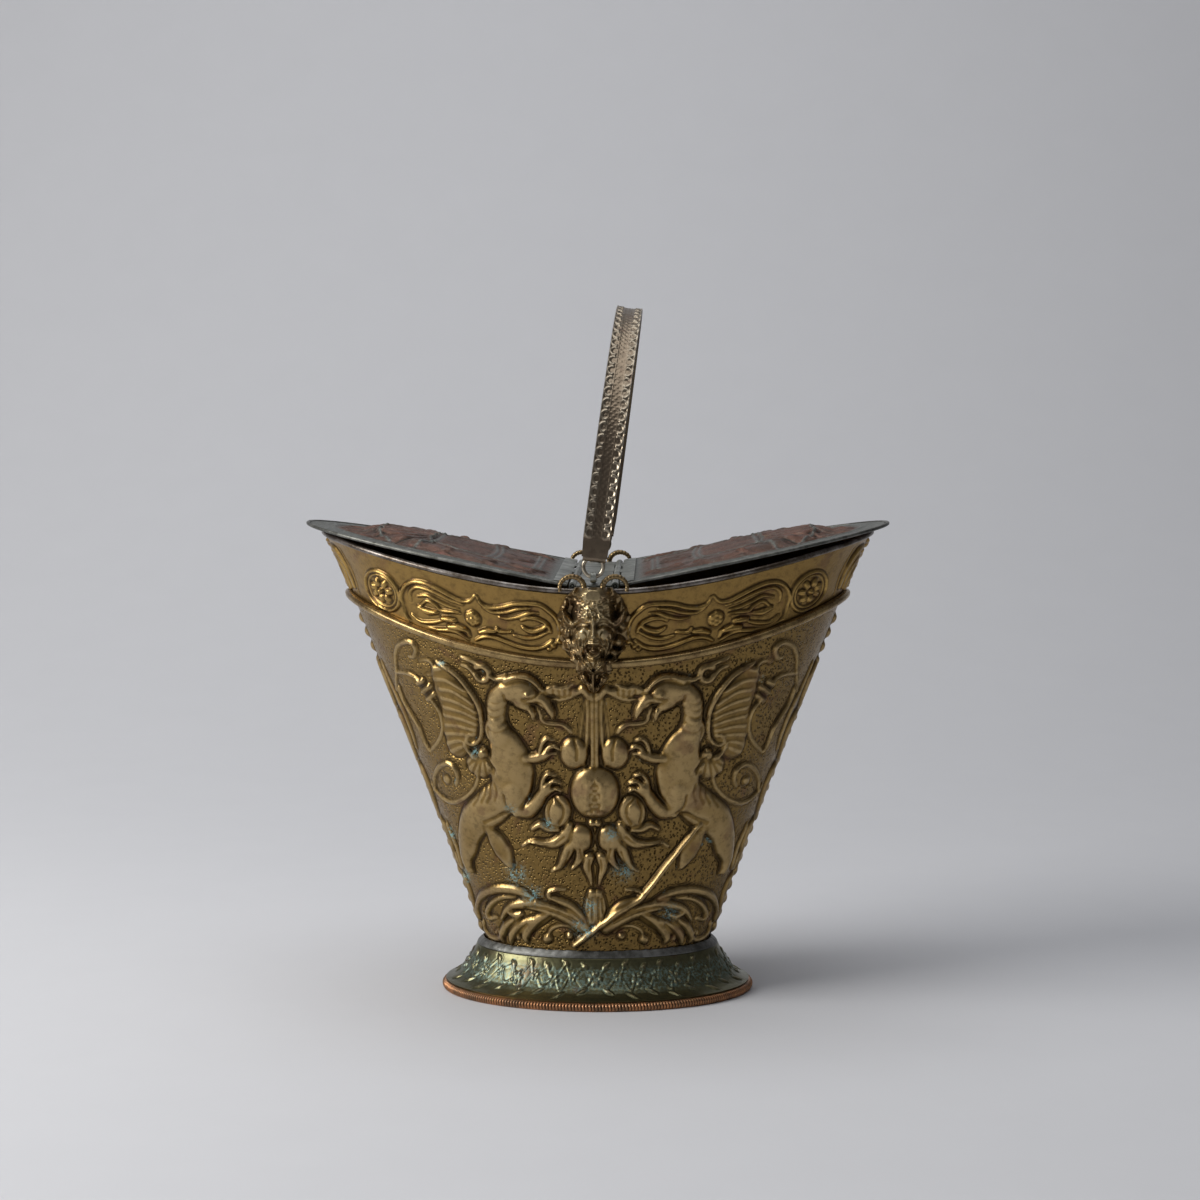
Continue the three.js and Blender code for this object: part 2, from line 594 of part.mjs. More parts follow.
// Half the width of hair, vine leaves and beard, by the share of the height from the top down.
const MASK_TOP = HINGE_HEIGHT - CLEARANCE / 3;
const MASK_BOTTOM = RIB_HEIGHT - MASK_DROP;
const MASK_ROWS = 20;
const MASK_ROW = (MASK_TOP - MASK_BOTTOM) / MASK_ROWS;
const MASK_EDGE = [[0, 0.5], [0.12, 0.8], [0.3, 1], [0.46, 0.97], [0.6, 0.8], [0.72, 0.5], [0.85, 0.42], [1, 0.05]];

function maskHalfWidth(down) {
  const next = MASK_EDGE.findIndex(([share]) => share >= down - 1e-6);
  const [lowShare, lowWidth] = MASK_EDGE[Math.max(0, next - 1)];
  const [highShare, highWidth] = MASK_EDGE[next];
  const part = highShare > lowShare ? (down - lowShare) / (highShare - lowShare) : 0;
  return MASK_HALF_WIDTH * mix(lowWidth, highWidth, part);
}

// Places of the face's main forms: the head hangs from the top of the mask.
const HEAD_HEIGHT = MASK_TOP - HEAD_HALF_TALL * 0.96;
const SEAT_MIDDLE = mix(RIB_HALF_WIDTH, RIM_HALF_WIDTH, 0.85);
const SEAT_LOW = RIB_HALF_WIDTH + RIB_PROUD;
const NOSE_ROOT = SEAT_MIDDLE + HEAD_DEPTH * 0.64;
const NOSE_HALF_WIDTH = HEAD_HALF_WIDTH * 0.3;
const NOSE_HALF_TALL = HEAD_HALF_TALL * 0.45;
const NOSE_HEIGHT = HEAD_HEIGHT - HEAD_HALF_TALL * 0.18;
const BEARD_HALF_WIDTH = HEAD_HALF_WIDTH * 0.6;
const BEARD_HEIGHT = RIB_HEIGHT - MASK_DROP * 0.22;
const SCALP_HALF_WIDTH = HEAD_HALF_WIDTH * 0.76;

// How far forward an egg-shaped swelling reaches at (x, z), or nothing beside it.
function swelling([wide, deep, tall], [y, centre], x, z) {
  const left = 1 - (x / wide) ** 2 - ((z - centre) / tall) ** 2;
  return left > 0 ? y + deep * Math.sqrt(left) : 0;
}

// Forward reach of the mask's face: head, nose, beard and scalp over the plate of leaves.
function maskReach(x, z) {
  return Math.max(
    wallReach(x, z) + MASK_LIFT,
    swelling([HEAD_HALF_WIDTH, HEAD_DEPTH, HEAD_HALF_TALL], [SEAT_MIDDLE, HEAD_HEIGHT], x, z),
    swelling([NOSE_HALF_WIDTH, NOSE_HALF_WIDTH * 1.8, NOSE_HALF_TALL], [NOSE_ROOT, NOSE_HEIGHT], x, z),
    swelling([BEARD_HALF_WIDTH, HEAD_DEPTH * 0.64, MASK_DROP * 0.7], [SEAT_LOW, BEARD_HEIGHT], x, z),
    swelling([SCALP_HALF_WIDTH, HEAD_DEPTH * 0.57, HEAD_HALF_TALL * 0.44], [RIM_HALF_WIDTH, RIM_HEIGHT], x, z),
  );
}

const HORN_MIDDLE = SCALP_HALF_WIDTH - HORN_RADIUS + HORN_SPAN * 0.5;
const HORN_DISTANCE = RIM_HALF_WIDTH + ROLL_RADIUS + HORN_RADIUS * 1.65 + 2 * CLEARANCE;

class Horn extends THREE.Curve {
  constructor(side) {
    super();
    this.side = side;
  }

  // From the brow up, over and down to a tip beside the head.
  getPoint(t, target = new THREE.Vector3()) {
    const angle = mix(Math.PI * 1.12, -Math.PI * 0.12, t);
    const across = HORN_MIDDLE + HORN_SPAN * Math.cos(angle);
    return target.set(this.side * across, -HORN_DISTANCE, MASK_TOP + HORN_SPAN * 0.9 * Math.sin(angle));
  }
}

function horn(side) {
  return new THREE.ExtrudeGeometry(tubeShape(HORN_RADIUS, 6), {
    steps: 10, extrudePath: new Horn(side), bevelEnabled: false,
  });
}

// A box of small facets: its back lies on the wall and its front swells out to the face.
function mask(side) {
  const face = bend(new THREE.BoxGeometry(2, 1, 1, 10, 1, MASK_ROWS), (point) => {
    const x = point.x * maskHalfWidth(0.5 - point.z);
    const z = mix(MASK_BOTTOM, MASK_TOP, point.z + 0.5);
    return new THREE.Vector3(x, point.y < 0 ? -maskReach(x, z) : -wallReach(x, z), z);
  });
  const shape = toGeometry(joinAll([face, horn(-1), horn(1)]));
  return side > 0 ? shape.rotateZ(Math.PI) : shape;
}

// ---------------------------------------------------------------- finishes

const finish = (color, roughness, metalness) => new THREE.MeshStandardMaterial({ color, roughness, metalness });
const oldBrass = () => finish(0x7a5f2c, 0.42, 0.85);
const darkBrass = () => finish(0x54452a, 0.45, 0.85);
const steelGrey = () => finish(0x6c6a66, 0.4, 0.85);
const redCopper = () => finish(0x5d4238, 0.5, 0.75);
const footBronze = () => finish(0x4f4a38, 0.45, 0.8);
const solderGrey = () => finish(0x6f675a, 0.5, 0.7);
const pewter = () => finish(0x55483a, 0.4, 0.85);

// ---------------------------------------------------------------- assembly

const scuttle = new THREE.Group();

function addPiece(parent, name, geometry, material) {
  const piece = new THREE.Mesh(geometry, material);
  piece.name = name;
  parent.add(piece);
}

addPiece(scuttle, 'body_front', lowerBody(-1), oldBrass());
addPiece(scuttle, 'body_back', lowerBody(1), oldBrass());
addPiece(scuttle, 'collar_front', collar(-1), oldBrass());
addPiece(scuttle, 'collar_back', collar(1), oldBrass());
addPiece(scuttle, 'rib_moulding', ribMoulding(), oldBrass());
addPiece(scuttle, 'rim_roll', rimRoll(), steelGrey());
addPiece(scuttle, 'bottom_plate', bottomPlate(), darkBrass());
addPiece(scuttle, 'foot_skirt', footSkirt(), footBronze());
addPiece(scuttle, 'foot_edge', footEdge(), footBronze());
addPiece(scuttle, 'foot_solder', footSolder(), solderGrey());
addPiece(scuttle, 'hinge_bar', hingeBar(), steelGrey());
addPiece(scuttle, 'hinge_pin_left', hingePin(-HINGE_OFFSET), steelGrey());
addPiece(scuttle, 'hinge_pin_right', hingePin(HINGE_OFFSET), steelGrey());
for (const [name, side] of [['front', -1], ['back', 1]]) {
  addPiece(scuttle, `ring_lug_${name}`, ringLug(side), steelGrey());
  addPiece(scuttle, `mask_${name}`, mask(side), darkBrass());
}

function addLid(name, turn) {
  const heading = new THREE.Group();
  heading.rotation.z = turn;
  const hinged = new THREE.Group();
  hinged.position.set(HINGE_OFFSET, 0, HINGE_HEIGHT);
  hinged.rotation.y = -LID_SLOPE;
  heading.add(hinged);
  addPiece(hinged, `lid_${name}_plate`, lidPlate(), redCopper());
  addPiece(hinged, `lid_${name}_edge`, lidEdge(), steelGrey());
  addPiece(hinged, `lid_${name}_leaf`, lidLeaf(), steelGrey());
  scuttle.add(heading);
}

addLid('right', 0);
addLid('left', Math.PI);

const handle = new THREE.Group();
handle.position.z = RING_HEIGHT;
handle.rotation.y = LEAN;
addPiece(handle, 'handle_strap', handleStrap(), pewter());
addPiece(handle, 'handle_ring_front', handleRing(-1), darkBrass());
addPiece(handle, 'handle_ring_back', handleRing(1), darkBrass());
scuttle.add(handle);

export default scuttle;
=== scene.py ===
"""A coal scuttle of embossed brass: an oval flaring body on a spreading foot, two lids hinged at the middle,
a strap handle on rings and a cast satyr mask at the front and at the back."""

import math

import bpy
import numpy as np
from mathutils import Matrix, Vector


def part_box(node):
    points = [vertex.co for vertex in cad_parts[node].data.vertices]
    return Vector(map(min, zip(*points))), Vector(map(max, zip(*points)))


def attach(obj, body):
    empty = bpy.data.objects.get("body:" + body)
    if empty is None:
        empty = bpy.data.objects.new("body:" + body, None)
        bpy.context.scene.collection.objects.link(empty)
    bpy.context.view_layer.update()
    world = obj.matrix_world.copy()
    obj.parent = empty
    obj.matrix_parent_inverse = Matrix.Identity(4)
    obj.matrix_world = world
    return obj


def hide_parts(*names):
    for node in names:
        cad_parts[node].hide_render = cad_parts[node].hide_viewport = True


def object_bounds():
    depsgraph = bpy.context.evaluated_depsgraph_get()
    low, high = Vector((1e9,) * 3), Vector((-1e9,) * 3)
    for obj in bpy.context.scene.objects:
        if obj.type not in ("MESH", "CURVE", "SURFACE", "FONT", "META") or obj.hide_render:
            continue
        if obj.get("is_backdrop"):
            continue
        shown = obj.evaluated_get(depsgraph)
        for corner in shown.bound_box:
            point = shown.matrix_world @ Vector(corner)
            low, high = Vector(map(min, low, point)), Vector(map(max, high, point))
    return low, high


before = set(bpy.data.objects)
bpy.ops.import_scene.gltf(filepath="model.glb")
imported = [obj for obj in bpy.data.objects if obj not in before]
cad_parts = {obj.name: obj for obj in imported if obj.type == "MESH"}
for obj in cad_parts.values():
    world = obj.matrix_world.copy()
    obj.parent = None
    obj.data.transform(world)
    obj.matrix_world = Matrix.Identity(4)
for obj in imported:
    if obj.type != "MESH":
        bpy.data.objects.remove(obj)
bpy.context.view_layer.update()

# ---------------------------------------------------------------- sizes, in millimetres and degrees

MM = 0.001
CLEARANCE = 0.3
SHEET = 1.2

FOOT_HEIGHT = 33.5
FOOT_OVAL = (91.0, 60.0)
FOOT_FLANGE = 9.0
FOOT_THICK = 1.3
FOOT_SPREAD = 25.0
FOOT_EDGE_TALL = 6.0
SOLDER_TALL = 5.0

BASE_OVAL = (83.0, 56.0)
BASE_HEIGHT = 35.5
PLATE_THICK = 1.4
BODY_TALL = 221.0
BODY_HOLLOW = 1.6
RIB_OVAL = (183.0, 113.0)
RIB_HEIGHT = BASE_HEIGHT + BODY_TALL
RIB_RISE = 42.0
RIB_SOFTNESS = 1.5
RIB_TALL = 6.8
RIB_PROUD = 5.2
COLLAR_TALL = 52.5
COLLAR_BOW = 2.0
RIM_OVAL = (204.0, 126.0)
RIM_HEIGHT = RIB_HEIGHT + COLLAR_TALL
RIM_RISE = 35.5
RIM_SOFTNESS = 0.6
ROLL_RADIUS = 1.9

HINGE_OFFSET = 15.0
HINGE_HEIGHT = RIM_HEIGHT + 3.5
PIN_RADIUS = 1.2
PIN_PLAY = 0.3
KNUCKLE_RADIUS = 2.7
KNUCKLE_COUNT = 7
KNUCKLE_GAP = 0.5
BAR_THICK = 2.0
BAR_DROP = 1.4
WEB_REACH = 1.3

LID_OVAL = (216.0, 121.5)
LID_RISE = 38.5
LID_EDGE_RADIUS = 1.3
LID_START = 3.7
LID_CROWN = 5.4
LID_MARGIN = 19.0
LEAF_WIDTH = 10.0
LEAF_THICK = 1.1
LEAF_INSET = 3.7
LEAF_LIFT = 0.9

RING_HEIGHT = HINGE_HEIGHT + 14.5
RING_DISTANCE = 134.0
RING_RADIUS = 6.9
RING_WIRE = 1.4
LUG_HOLE = 2.1
LUG_RADIUS = 3.8
LUG_THICK = 4.0
STRAP_WIDTH = 19.2
STRAP_THICK = 2.2
HANDLE_LEAN = 7.5

MASK_TOP = HINGE_HEIGHT
MASK_BOTTOM = RIB_HEIGHT - 20.5
MASK_HALF_WIDTH = 26.0
MASK_SPREAD = 190.0
MASK_REACH = 141.8
LUG_ROOM = 3.2
LUG_ROOM_FROM = 311.6
LUG_ROOM_REACH = 132.0
HORN_RADIUS = 2.1
HORN_SPAN = 8.5
HORN_MIDDLE = 15.07
HORN_DISTANCE = 131.97

# ---------------------------------------------------------------- the camera, and sight lines through the picture

PICTURE = 1200.0
FOCAL = 2547.0
SENSOR = 36.0
EYE_DISTANCE = 1900.0
EYE_HEIGHT = 451.0
EYE_SWING = 1.2
EYE_TILT = 4.76
EYE_ASIDE = 1.9
PICTURE_SCALE = 1.34

swing, tilt = math.radians(EYE_SWING), math.radians(EYE_TILT)
EYE = np.array([EYE_DISTANCE * math.sin(swing) + EYE_ASIDE, -EYE_DISTANCE * math.cos(swing), EYE_HEIGHT])
FORWARD = np.array([-math.sin(swing) * math.cos(tilt), math.cos(swing) * math.cos(tilt), -math.sin(tilt)])
RIGHT = np.array([math.cos(swing), math.sin(swing), 0.0])
UP = np.cross(RIGHT, FORWARD)


def mix(a, b, t):
    return a + (b - a) * t


def smooth(low, high, value):
    """0 below low, 1 above high, 3t² - 2t³ between."""
    t = np.clip((value - low) / (high - low), 0, 1)
    return t * t * (3 - 2 * t)


# ---------------------------------------------------------------- the oval walls

QUARTER_TURN = math.pi / 2
OVAL_SHAPE = 0.63
turns = np.linspace(0, QUARTER_TURN, 400)
steps = np.hypot(np.cos(turns), OVAL_SHAPE * np.sin(turns))
SPREAD_TABLE = np.concatenate([[0], np.cumsum((steps[1:] + steps[:-1]) / 2 * np.diff(turns))])


def spread(phi):
    """Length along an oval of half length 1 and half width OVAL_SHAPE, from the middle of the long side to phi."""
    return np.sign(phi) * np.interp(np.abs(phi), turns, SPREAD_TABLE)


def saddle(phi, soft):
    """0 at the middle of the long sides, 1 at the ends: (√(sin²φ + soft²) - soft) / (√(1 + soft²) - soft)."""
    return (np.hypot(np.sin(phi), soft) - soft) / (math.hypot(1, soft) - soft)


def rib_height(phi):
    """The rib's middle line: RIB_HEIGHT at the front, rising by RIB_RISE to the ends."""
    return RIB_HEIGHT + RIB_RISE * saddle(phi, RIB_SOFTNESS)


def rim_height(phi):
    """The rim's middle line: RIM_HEIGHT at the front, rising by RIM_RISE to the ends."""
    return RIM_HEIGHT + RIM_RISE * saddle(phi, RIM_SOFTNESS)


class Wall:
    """A band of the oval between a lower and an upper oval, bowed in by bow halfway up.

    phi turns from -90° at the left end through 0 at the front to 90°, and t rises from 0 to 1."""

    def __init__(self, low, high, low_height, high_height, bow, tall):
        self.low, self.high = low, high
        self.low_height, self.high_height = low_height, high_height
        self.bow, self.tall = bow, tall

    def half(self, t, side):
        return mix(self.low[side], self.high[side], t) - self.bow * 4 * t * (1 - t)

    def point(self, phi, t):
        """(A sin phi, -B cos phi, z), with A and B the oval's half length and half width at t."""
        z = mix(self.low_height(phi), self.high_height(phi), t)
        return np.stack([self.half(t, 0) * np.sin(phi), -self.half(t, 1) * np.cos(phi), z], -1)

    def level(self, phi, z):
        return (z - self.low_height(phi)) / (self.high_height(phi) - self.low_height(phi))

    def drawing(self, phi, t):
        """The place on the flattened wall: length along it from the middle, and height."""
        z = mix(self.low_height(phi), self.high_height(phi), t) if self.tall is None else t * self.tall
        return self.half(t, 0) * spread(phi), z

    def seen(self, picture_points):
        """The flattened places where sight lines through picture points meet this wall.

        The line's reach is set from the wall's y at its present x and z, over and over until it settles."""
        spots = np.asarray(picture_points, float)
        ray = FORWARD + RIGHT * (spots[:, :1] - PICTURE / 2) / FOCAL - UP * (spots[:, 1:] - PICTURE / 2) / FOCAL
        reach = (-100 - EYE[1]) / ray[:, 1]
        phi = np.zeros(len(spots))
        t = np.full(len(spots), 0.5)
        for _ in range(60):
            spot = EYE + ray * reach[:, None]
            t = np.clip(self.level(phi, spot[:, 2]), -0.1, 1.1)
            phi = np.arcsin(np.clip(spot[:, 0] / self.half(t, 0), -0.985, 0.985))
            wall = -self.half(t, 1) * np.cos(phi)
            reach = mix(reach, (wall - EYE[1]) / ray[:, 1], 0.6)
        return np.stack(self.drawing(phi, t), -1)

    def at_share(self, places):
        """Flattened places given as shares of the quarter round from the middle to the left end, and heights."""
        places = np.asarray(places, float)
        phi = -places[:, 0] * QUARTER_TURN
        t = self.level(phi, places[:, 1]) if self.tall is None else places[:, 1] / self.tall
        return np.stack(self.drawing(phi, t), -1)


body_wall = Wall(BASE_OVAL, RIB_OVAL, lambda phi: BASE_HEIGHT + 0 * phi, rib_height, BODY_HOLLOW, None)
collar_wall = Wall(RIB_OVAL, RIM_OVAL, rib_height, rim_height, COLLAR_BOW, COLLAR_TALL)


# ---------------------------------------------------------------- drawing in relief

def curve_through(points, count):
    """Catmull-Rom curve: p(u) = ½(2b + (c-a)u + (2a-5b+4c-d)u² + (3b-a-3c+d)u³) between b and c."""
    points = np.asarray(points, float)
    if len(points) == 2:
        return mix(points[:1], points[1:], np.linspace(0, 1, count)[:, None])
    ends = np.vstack([2 * points[0] - points[1], points, 2 * points[-1] - points[-2]])
    place = np.linspace(0, len(points) - 1, count)
    i = np.minimum(place.astype(int), len(points) - 2)
    u = (place - i)[:, None]
    a, b, c, d = ends[i], ends[i + 1], ends[i + 2], ends[i + 3]
    return 0.5 * (2 * b + (c - a) * u + (2 * a - 5 * b + 4 * c - d) * u ** 2 + (3 * b - a - 3 * c + d) * u ** 3)


class Relief:
    """Height above the ground at each place of a flattened surface, worked up form by form.

    gap is the distance from the nearest form, negative inside one."""

    def __init__(self, across, up):
        self.across, self.up = across, up
        self.height = np.zeros_like(across)
        self.gap = np.full_like(across, 99.0)

    def share(self, line, half, reach):
        """Places near a line, and for each the smallest distance / half width, and distance - half width."""
        line = np.asarray(line, float)
        half = np.broadcast_to(half, len(line)).astype(float)
        low, high = line.min(0) - half.max() - reach, line.max(0) + half.max() + reach
        near = (self.across >= low[0]) & (self.across <= high[0]) & (self.up >= low[1]) & (self.up <= high[1])
        near = np.nonzero(near)
        p = np.stack([self.across[near], self.up[near]], -1)
        ratio, gap = np.full(len(p), 99.0), np.full(len(p), 99.0)
        for a, b, ha, hb in zip(line[:-1], line[1:], half[:-1], half[1:]):
            run = b - a
            along = np.clip((p - a) @ run / max(run @ run, 1e-9), 0, 1)
            distance = np.hypot(*(p - a - along[:, None] * run).T)
            width = mix(ha, hb, along)
            ratio = np.minimum(ratio, distance / np.maximum(width, 0.05))
            gap = np.minimum(gap, distance - width)
        return near, ratio, gap

    def line(self, points, half, close=False):
        points = np.asarray(points, float)
        if close:
            points = np.vstack([points, points[:1]])
        count = 1 if len(points) == 1 else 5 * (len(points) - 1) + 1
        if len(points) == 1:
            return np.vstack([points, points + 0.01]), np.broadcast_to(half, 2)
        half = np.broadcast_to(half, len(points)) if np.ndim(half) == 0 else np.asarray(half, float)
        place = np.linspace(0, len(half) - 1, count)
        return curve_through(points, count), np.interp(place, np.arange(len(half)), half)

    def merge(self, near, form):
        """The higher of the new form and the rest, run together softly: h = (h₁⁴ + h₂⁴)^¼, at least 0."""
        before = np.maximum(self.height[near], 0)
        self.height[near] = (before ** 4 + np.maximum(form, 0) ** 4) ** 0.25 + np.minimum(self.height[near], 0)

    def swell(self, points, half, rise, close=False):
        """A rounded form along a curve: height = rise·(1 - (distance/half width)²)^0.6."""
        near, ratio, gap = self.share(*self.line(points, half, close), 4)
        self.merge(near, rise * np.clip(1 - ratio ** 2, 0, 1) ** 0.6)
        self.gap[near] = np.minimum(self.gap[near], gap)

    def ridge(self, points, half, rise, close=False):
        """A soft ridge, or for a negative rise a groove, laid on whatever is there: rise·(1 - (d/half)²)²."""
        near, ratio, gap = self.share(*self.line(points, half, close), 1)
        self.height[near] += rise * np.clip(1 - ratio ** 2, 0, 1) ** 2
        if rise > 0.4:
            self.gap[near] = np.minimum(self.gap[near], gap)

    def bulb(self, centre, radii, rise, turn=0.0, add=False):
        """An egg: height = rise·(1 - (u/ru)² - (v/rv)²)^0.6, with u, v turned by turn degrees."""
        reach = max(radii) + 4
        near = (abs(self.across - centre[0]) < reach) & (abs(self.up - centre[1]) < reach)
        near = np.nonzero(near)
        x, z = self.across[near] - centre[0], self.up[near] - centre[1]
        c, s = math.cos(math.radians(turn)), math.sin(math.radians(turn))
        ratio = np.hypot((x * c + z * s) / radii[0], (z * c - x * s) / radii[1])
        form = rise * np.clip(1 - ratio ** 2, 0, 1) ** 0.6
        gap = (ratio - 1) * min(radii)
        if add:
            self.height[near] += form
        else:
            self.merge(near, form)
        self.gap[near] = np.minimum(self.gap[near], gap)

    def chase(self, depth, half):
        """The chaser's line round every form: the ground is set down by depth·exp(-(gap/half)²)."""
        self.height -= depth * np.exp(-(self.gap / half) ** 2)


def soften(field, times=1):
    """Each value moves to (before + 2·itself + after) / 4, both ways."""
    for _ in range(times):
        for axis in (0, 1):
            padded = np.concatenate([field.take([0], axis), field, field.take([-1], axis)], axis)
            n = padded.shape[axis]
            before, after = padded.take(range(0, n - 2), axis), padded.take(range(2, n), axis)
            field = (before + 2 * field + after) / 4
    return field


def hollow_of(height, reach=4):
    """How far each place lies below the mean of its neighbourhood."""
    return soften(height, reach * 3) - height


def normals(points):
    """Unit normals of a grid of points, from its two edge directions."""
    across = np.gradient(points, axis=1)
    along = np.gradient(points, axis=0)
    n = np.cross(across, along)
    return n / np.maximum(np.linalg.norm(n, axis=-1, keepdims=True), 1e-9)


# ---------------------------------------------------------------- meshes

def quads_of(ids):
    """The four-cornered faces between the neighbours of a grid of point numbers."""
    return np.stack([ids[:-1, :-1], ids[:-1, 1:], ids[1:, 1:], ids[1:, :-1]], -1).reshape(-1, 4)


class Skin:
    """Collects grids of points, in millimetres, and the faces between them into one closed mesh."""

    def __init__(self):
        self.points, self.faces, self.count, self.values = [], [], 0, {}

    def add_faces(self, faces, flip=False):
        self.faces.append(faces[:, ::-1] if flip else faces)

    def grid(self, points, ring_rows=False, ring_cols=False, flip=False, **values):
        rows, cols = points.shape[:2]
        ids = np.arange(rows * cols).reshape(rows, cols) + self.count
        for name, value in values.items():
            self.values.setdefault(name, []).append((self.count, np.broadcast_to(value, (rows, cols)).ravel()))
        self.points.append(points.reshape(-1, 3))
        self.count += rows * cols
        looped = np.vstack([ids, ids[:1]]) if ring_rows else ids
        looped = np.hstack([looped, looped[:, :1]]) if ring_cols else looped
        self.add_faces(quads_of(looped), flip)
        return ids

    def cap(self, ids):
        self.add_faces(np.asarray(ids).reshape(1, -1))

    def join_rings(self, a, b, flip=False):
        """A band of faces from one closed ring of points to another."""
        self.add_faces(np.stack([a, np.roll(a, -1), np.roll(b, -1), b], -1), flip)

    def pierced(self, outer, inner, flip=False):
        """A barrel and the bore in it, both grids of rings, joined at both ends."""
        a = self.grid(outer, ring_cols=True, flip=flip)
        b = self.grid(inner, ring_cols=True, flip=not flip)
        self.join_rings(a[0], b[0], flip)
        self.join_rings(a[-1], b[-1], not flip)

    def bridge(self, fine, coarse, flip=False):
        """Joins a finely divided edge to a coarse one that runs beside it."""
        k = (len(fine) - 1) // (len(coarse) - 1)
        start = np.arange(len(coarse) - 1)
        row = [coarse[start + 1], coarse[start]] + [fine[start * k + i] for i in range(k + 1)]
        self.add_faces(np.stack(row, -1), flip)

    def face_outward(self, points):
        """Turns every face over if the closed mesh holds a negative volume, the sum of a·(b × c)/6."""
        volume = 0.0
        for f in self.faces:
            for k in range(1, f.shape[1] - 1):
                a, b, c = points[f[:, 0]], points[f[:, k]], points[f[:, k + 1]]
                volume += np.sum(a * np.cross(b, c))
        if volume < 0:
            self.faces = [f[:, ::-1] for f in self.faces]

    def build(self, name, body, nodes, slot, material, angle=70.0):
        mesh = bpy.data.meshes.new(name)
        points = np.concatenate(self.points) * MM
        self.face_outward(points)
        loops = np.concatenate([f.ravel() for f in self.faces])
        sizes = np.concatenate([np.full(len(f), f.shape[1]) for f in self.faces])
        mesh.vertices.add(len(points))
        mesh.vertices.foreach_set("co", points.astype(np.float32).ravel())
        mesh.loops.add(len(loops))
        mesh.loops.foreach_set("vertex_index", loops.astype(np.int32))
        mesh.polygons.add(len(sizes))
        mesh.polygons.foreach_set("loop_start", np.concatenate([[0], np.cumsum(sizes)[:-1]]).astype(np.int32))
        for key, parts in self.values.items():
            full = np.zeros(len(points), np.float32)
            for start, value in parts:
                full[start:start + len(value)] = value
            mesh.attributes.new(key, "FLOAT", "POINT").data.foreach_set("value", full)
        mesh.update(calc_edges=True)
        mesh.validate()
        mesh.shade_smooth()
        mesh.set_sharp_from_angle(angle=math.radians(angle))
        mesh.materials.append(material)
        piece = bpy.data.objects.new(name, mesh)
        bpy.context.scene.collection.objects.link(piece)
        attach(piece, body)
        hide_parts(*nodes)
        return piece


def open_shell(skin, outer, inner, **values):
    """A sheet with a fine face and a coarse back, joined along its four edges."""
    a = skin.grid(outer, **values)
    b = skin.grid(inner, flip=True)
    skin.bridge(a[0], b[0], True)
    skin.bridge(a[-1], b[-1])
    skin.bridge(a[:, 0], b[:, 0])
    skin.bridge(a[:, -1], b[:, -1], True)


def turned_round(points):
    """Half a turn about the upright axis: (-x, -y, z)."""
    return points * np.array([-1.0, -1.0, 1.0])


def ring_band(outline, steps, low=FOOT_OVAL):
    """Sweeps a closed outline of (out, z) round the oval whose halves are low + out."""
    phi = np.linspace(0, 2 * math.pi, steps, endpoint=False)
    out, z = np.asarray(outline, float).T[:, :, None]
    return np.stack([(low[0] + out) * np.cos(phi), (low[1] + out) * np.sin(phi), z + 0 * phi], -1)


# ---------------------------------------------------------------- materials

class Finish:
    """A material built up from nodes, ending in one surface shader."""

    def __init__(self, name, metal, rough):
        self.material = bpy.data.materials.new(name)
        self.material.use_nodes = True
        self.tree = self.material.node_tree
        self.shader = self.tree.nodes["Principled BSDF"]
        self.shader.inputs["Metallic"].default_value = metal
        self.shader.inputs["Roughness"].default_value = rough
        self.place = self.node("ShaderNodeTexCoord").outputs["Object"]

    def node(self, kind, **inputs):
        node = self.tree.nodes.new(kind)
        for key, value in inputs.items():
            self.put(node.inputs[key], value)
        return node

    def put(self, socket, value):
        if isinstance(value, bpy.types.NodeSocket):
            self.tree.links.new(value, socket)
        elif socket.type == "RGBA":
            socket.default_value = (*value, 1.0)
        else:
            socket.default_value = value

    def math(self, operation, a, b=0.0, clamp=False):
        node = self.tree.nodes.new("ShaderNodeMath")
        node.operation, node.use_clamp = operation, clamp
        self.put(node.inputs[0], a)
        self.put(node.inputs[1], b)
        return node.outputs[0]

    def value(self, name):
        node = self.tree.nodes.new("ShaderNodeAttribute")
        node.attribute_name = name
        return node.outputs["Fac"]

    def noise(self, size, detail=4.0, rough=0.6):
        """Cloudy noise whose lumps are size millimetres across."""
        node = self.node("ShaderNodeTexNoise", Vector=self.place, Scale=1 / (size * MM), Detail=detail,
                         Roughness=rough)
        return node.outputs["Fac"]

    def cells(self, size):
        """The distance to the nearest of points strewn size millimetres apart."""
        return self.node("ShaderNodeTexVoronoi", Vector=self.place, Scale=1 / (size * MM)).outputs["Distance"]

    def between(self, value, low, high):
        """0 where value is below low, 1 above high, eased between."""
        node = self.tree.nodes.new("ShaderNodeMapRange")
        node.interpolation_type = "SMOOTHSTEP"
        self.put(node.inputs["Value"], value)
        node.inputs["From Min"].default_value = low
        node.inputs["From Max"].default_value = high
        return node.outputs["Result"]

    def blend(self, factor, a, b):
        node = self.tree.nodes.new("ShaderNodeMix")
        node.data_type = "RGBA"
        self.put(node.inputs[0], factor)
        self.put(node.inputs[6], a)
        self.put(node.inputs[7], b)
        return node.outputs[2]

    def bump(self, height, distance, strength=1.0, onto=None):
        node = self.node("ShaderNodeBump", Height=height, Distance=distance * MM, Strength=strength)
        if onto is not None:
            self.put(node.inputs["Normal"], onto)
        return node.outputs["Normal"]

    def done(self, colour, rough=None, normal=None):
        self.put(self.shader.inputs["Base Color"], colour)
        if rough is not None:
            self.put(self.shader.inputs["Roughness"], rough)
        if normal is not None:
            self.put(self.shader.inputs["Normal"], normal)
        return self.material


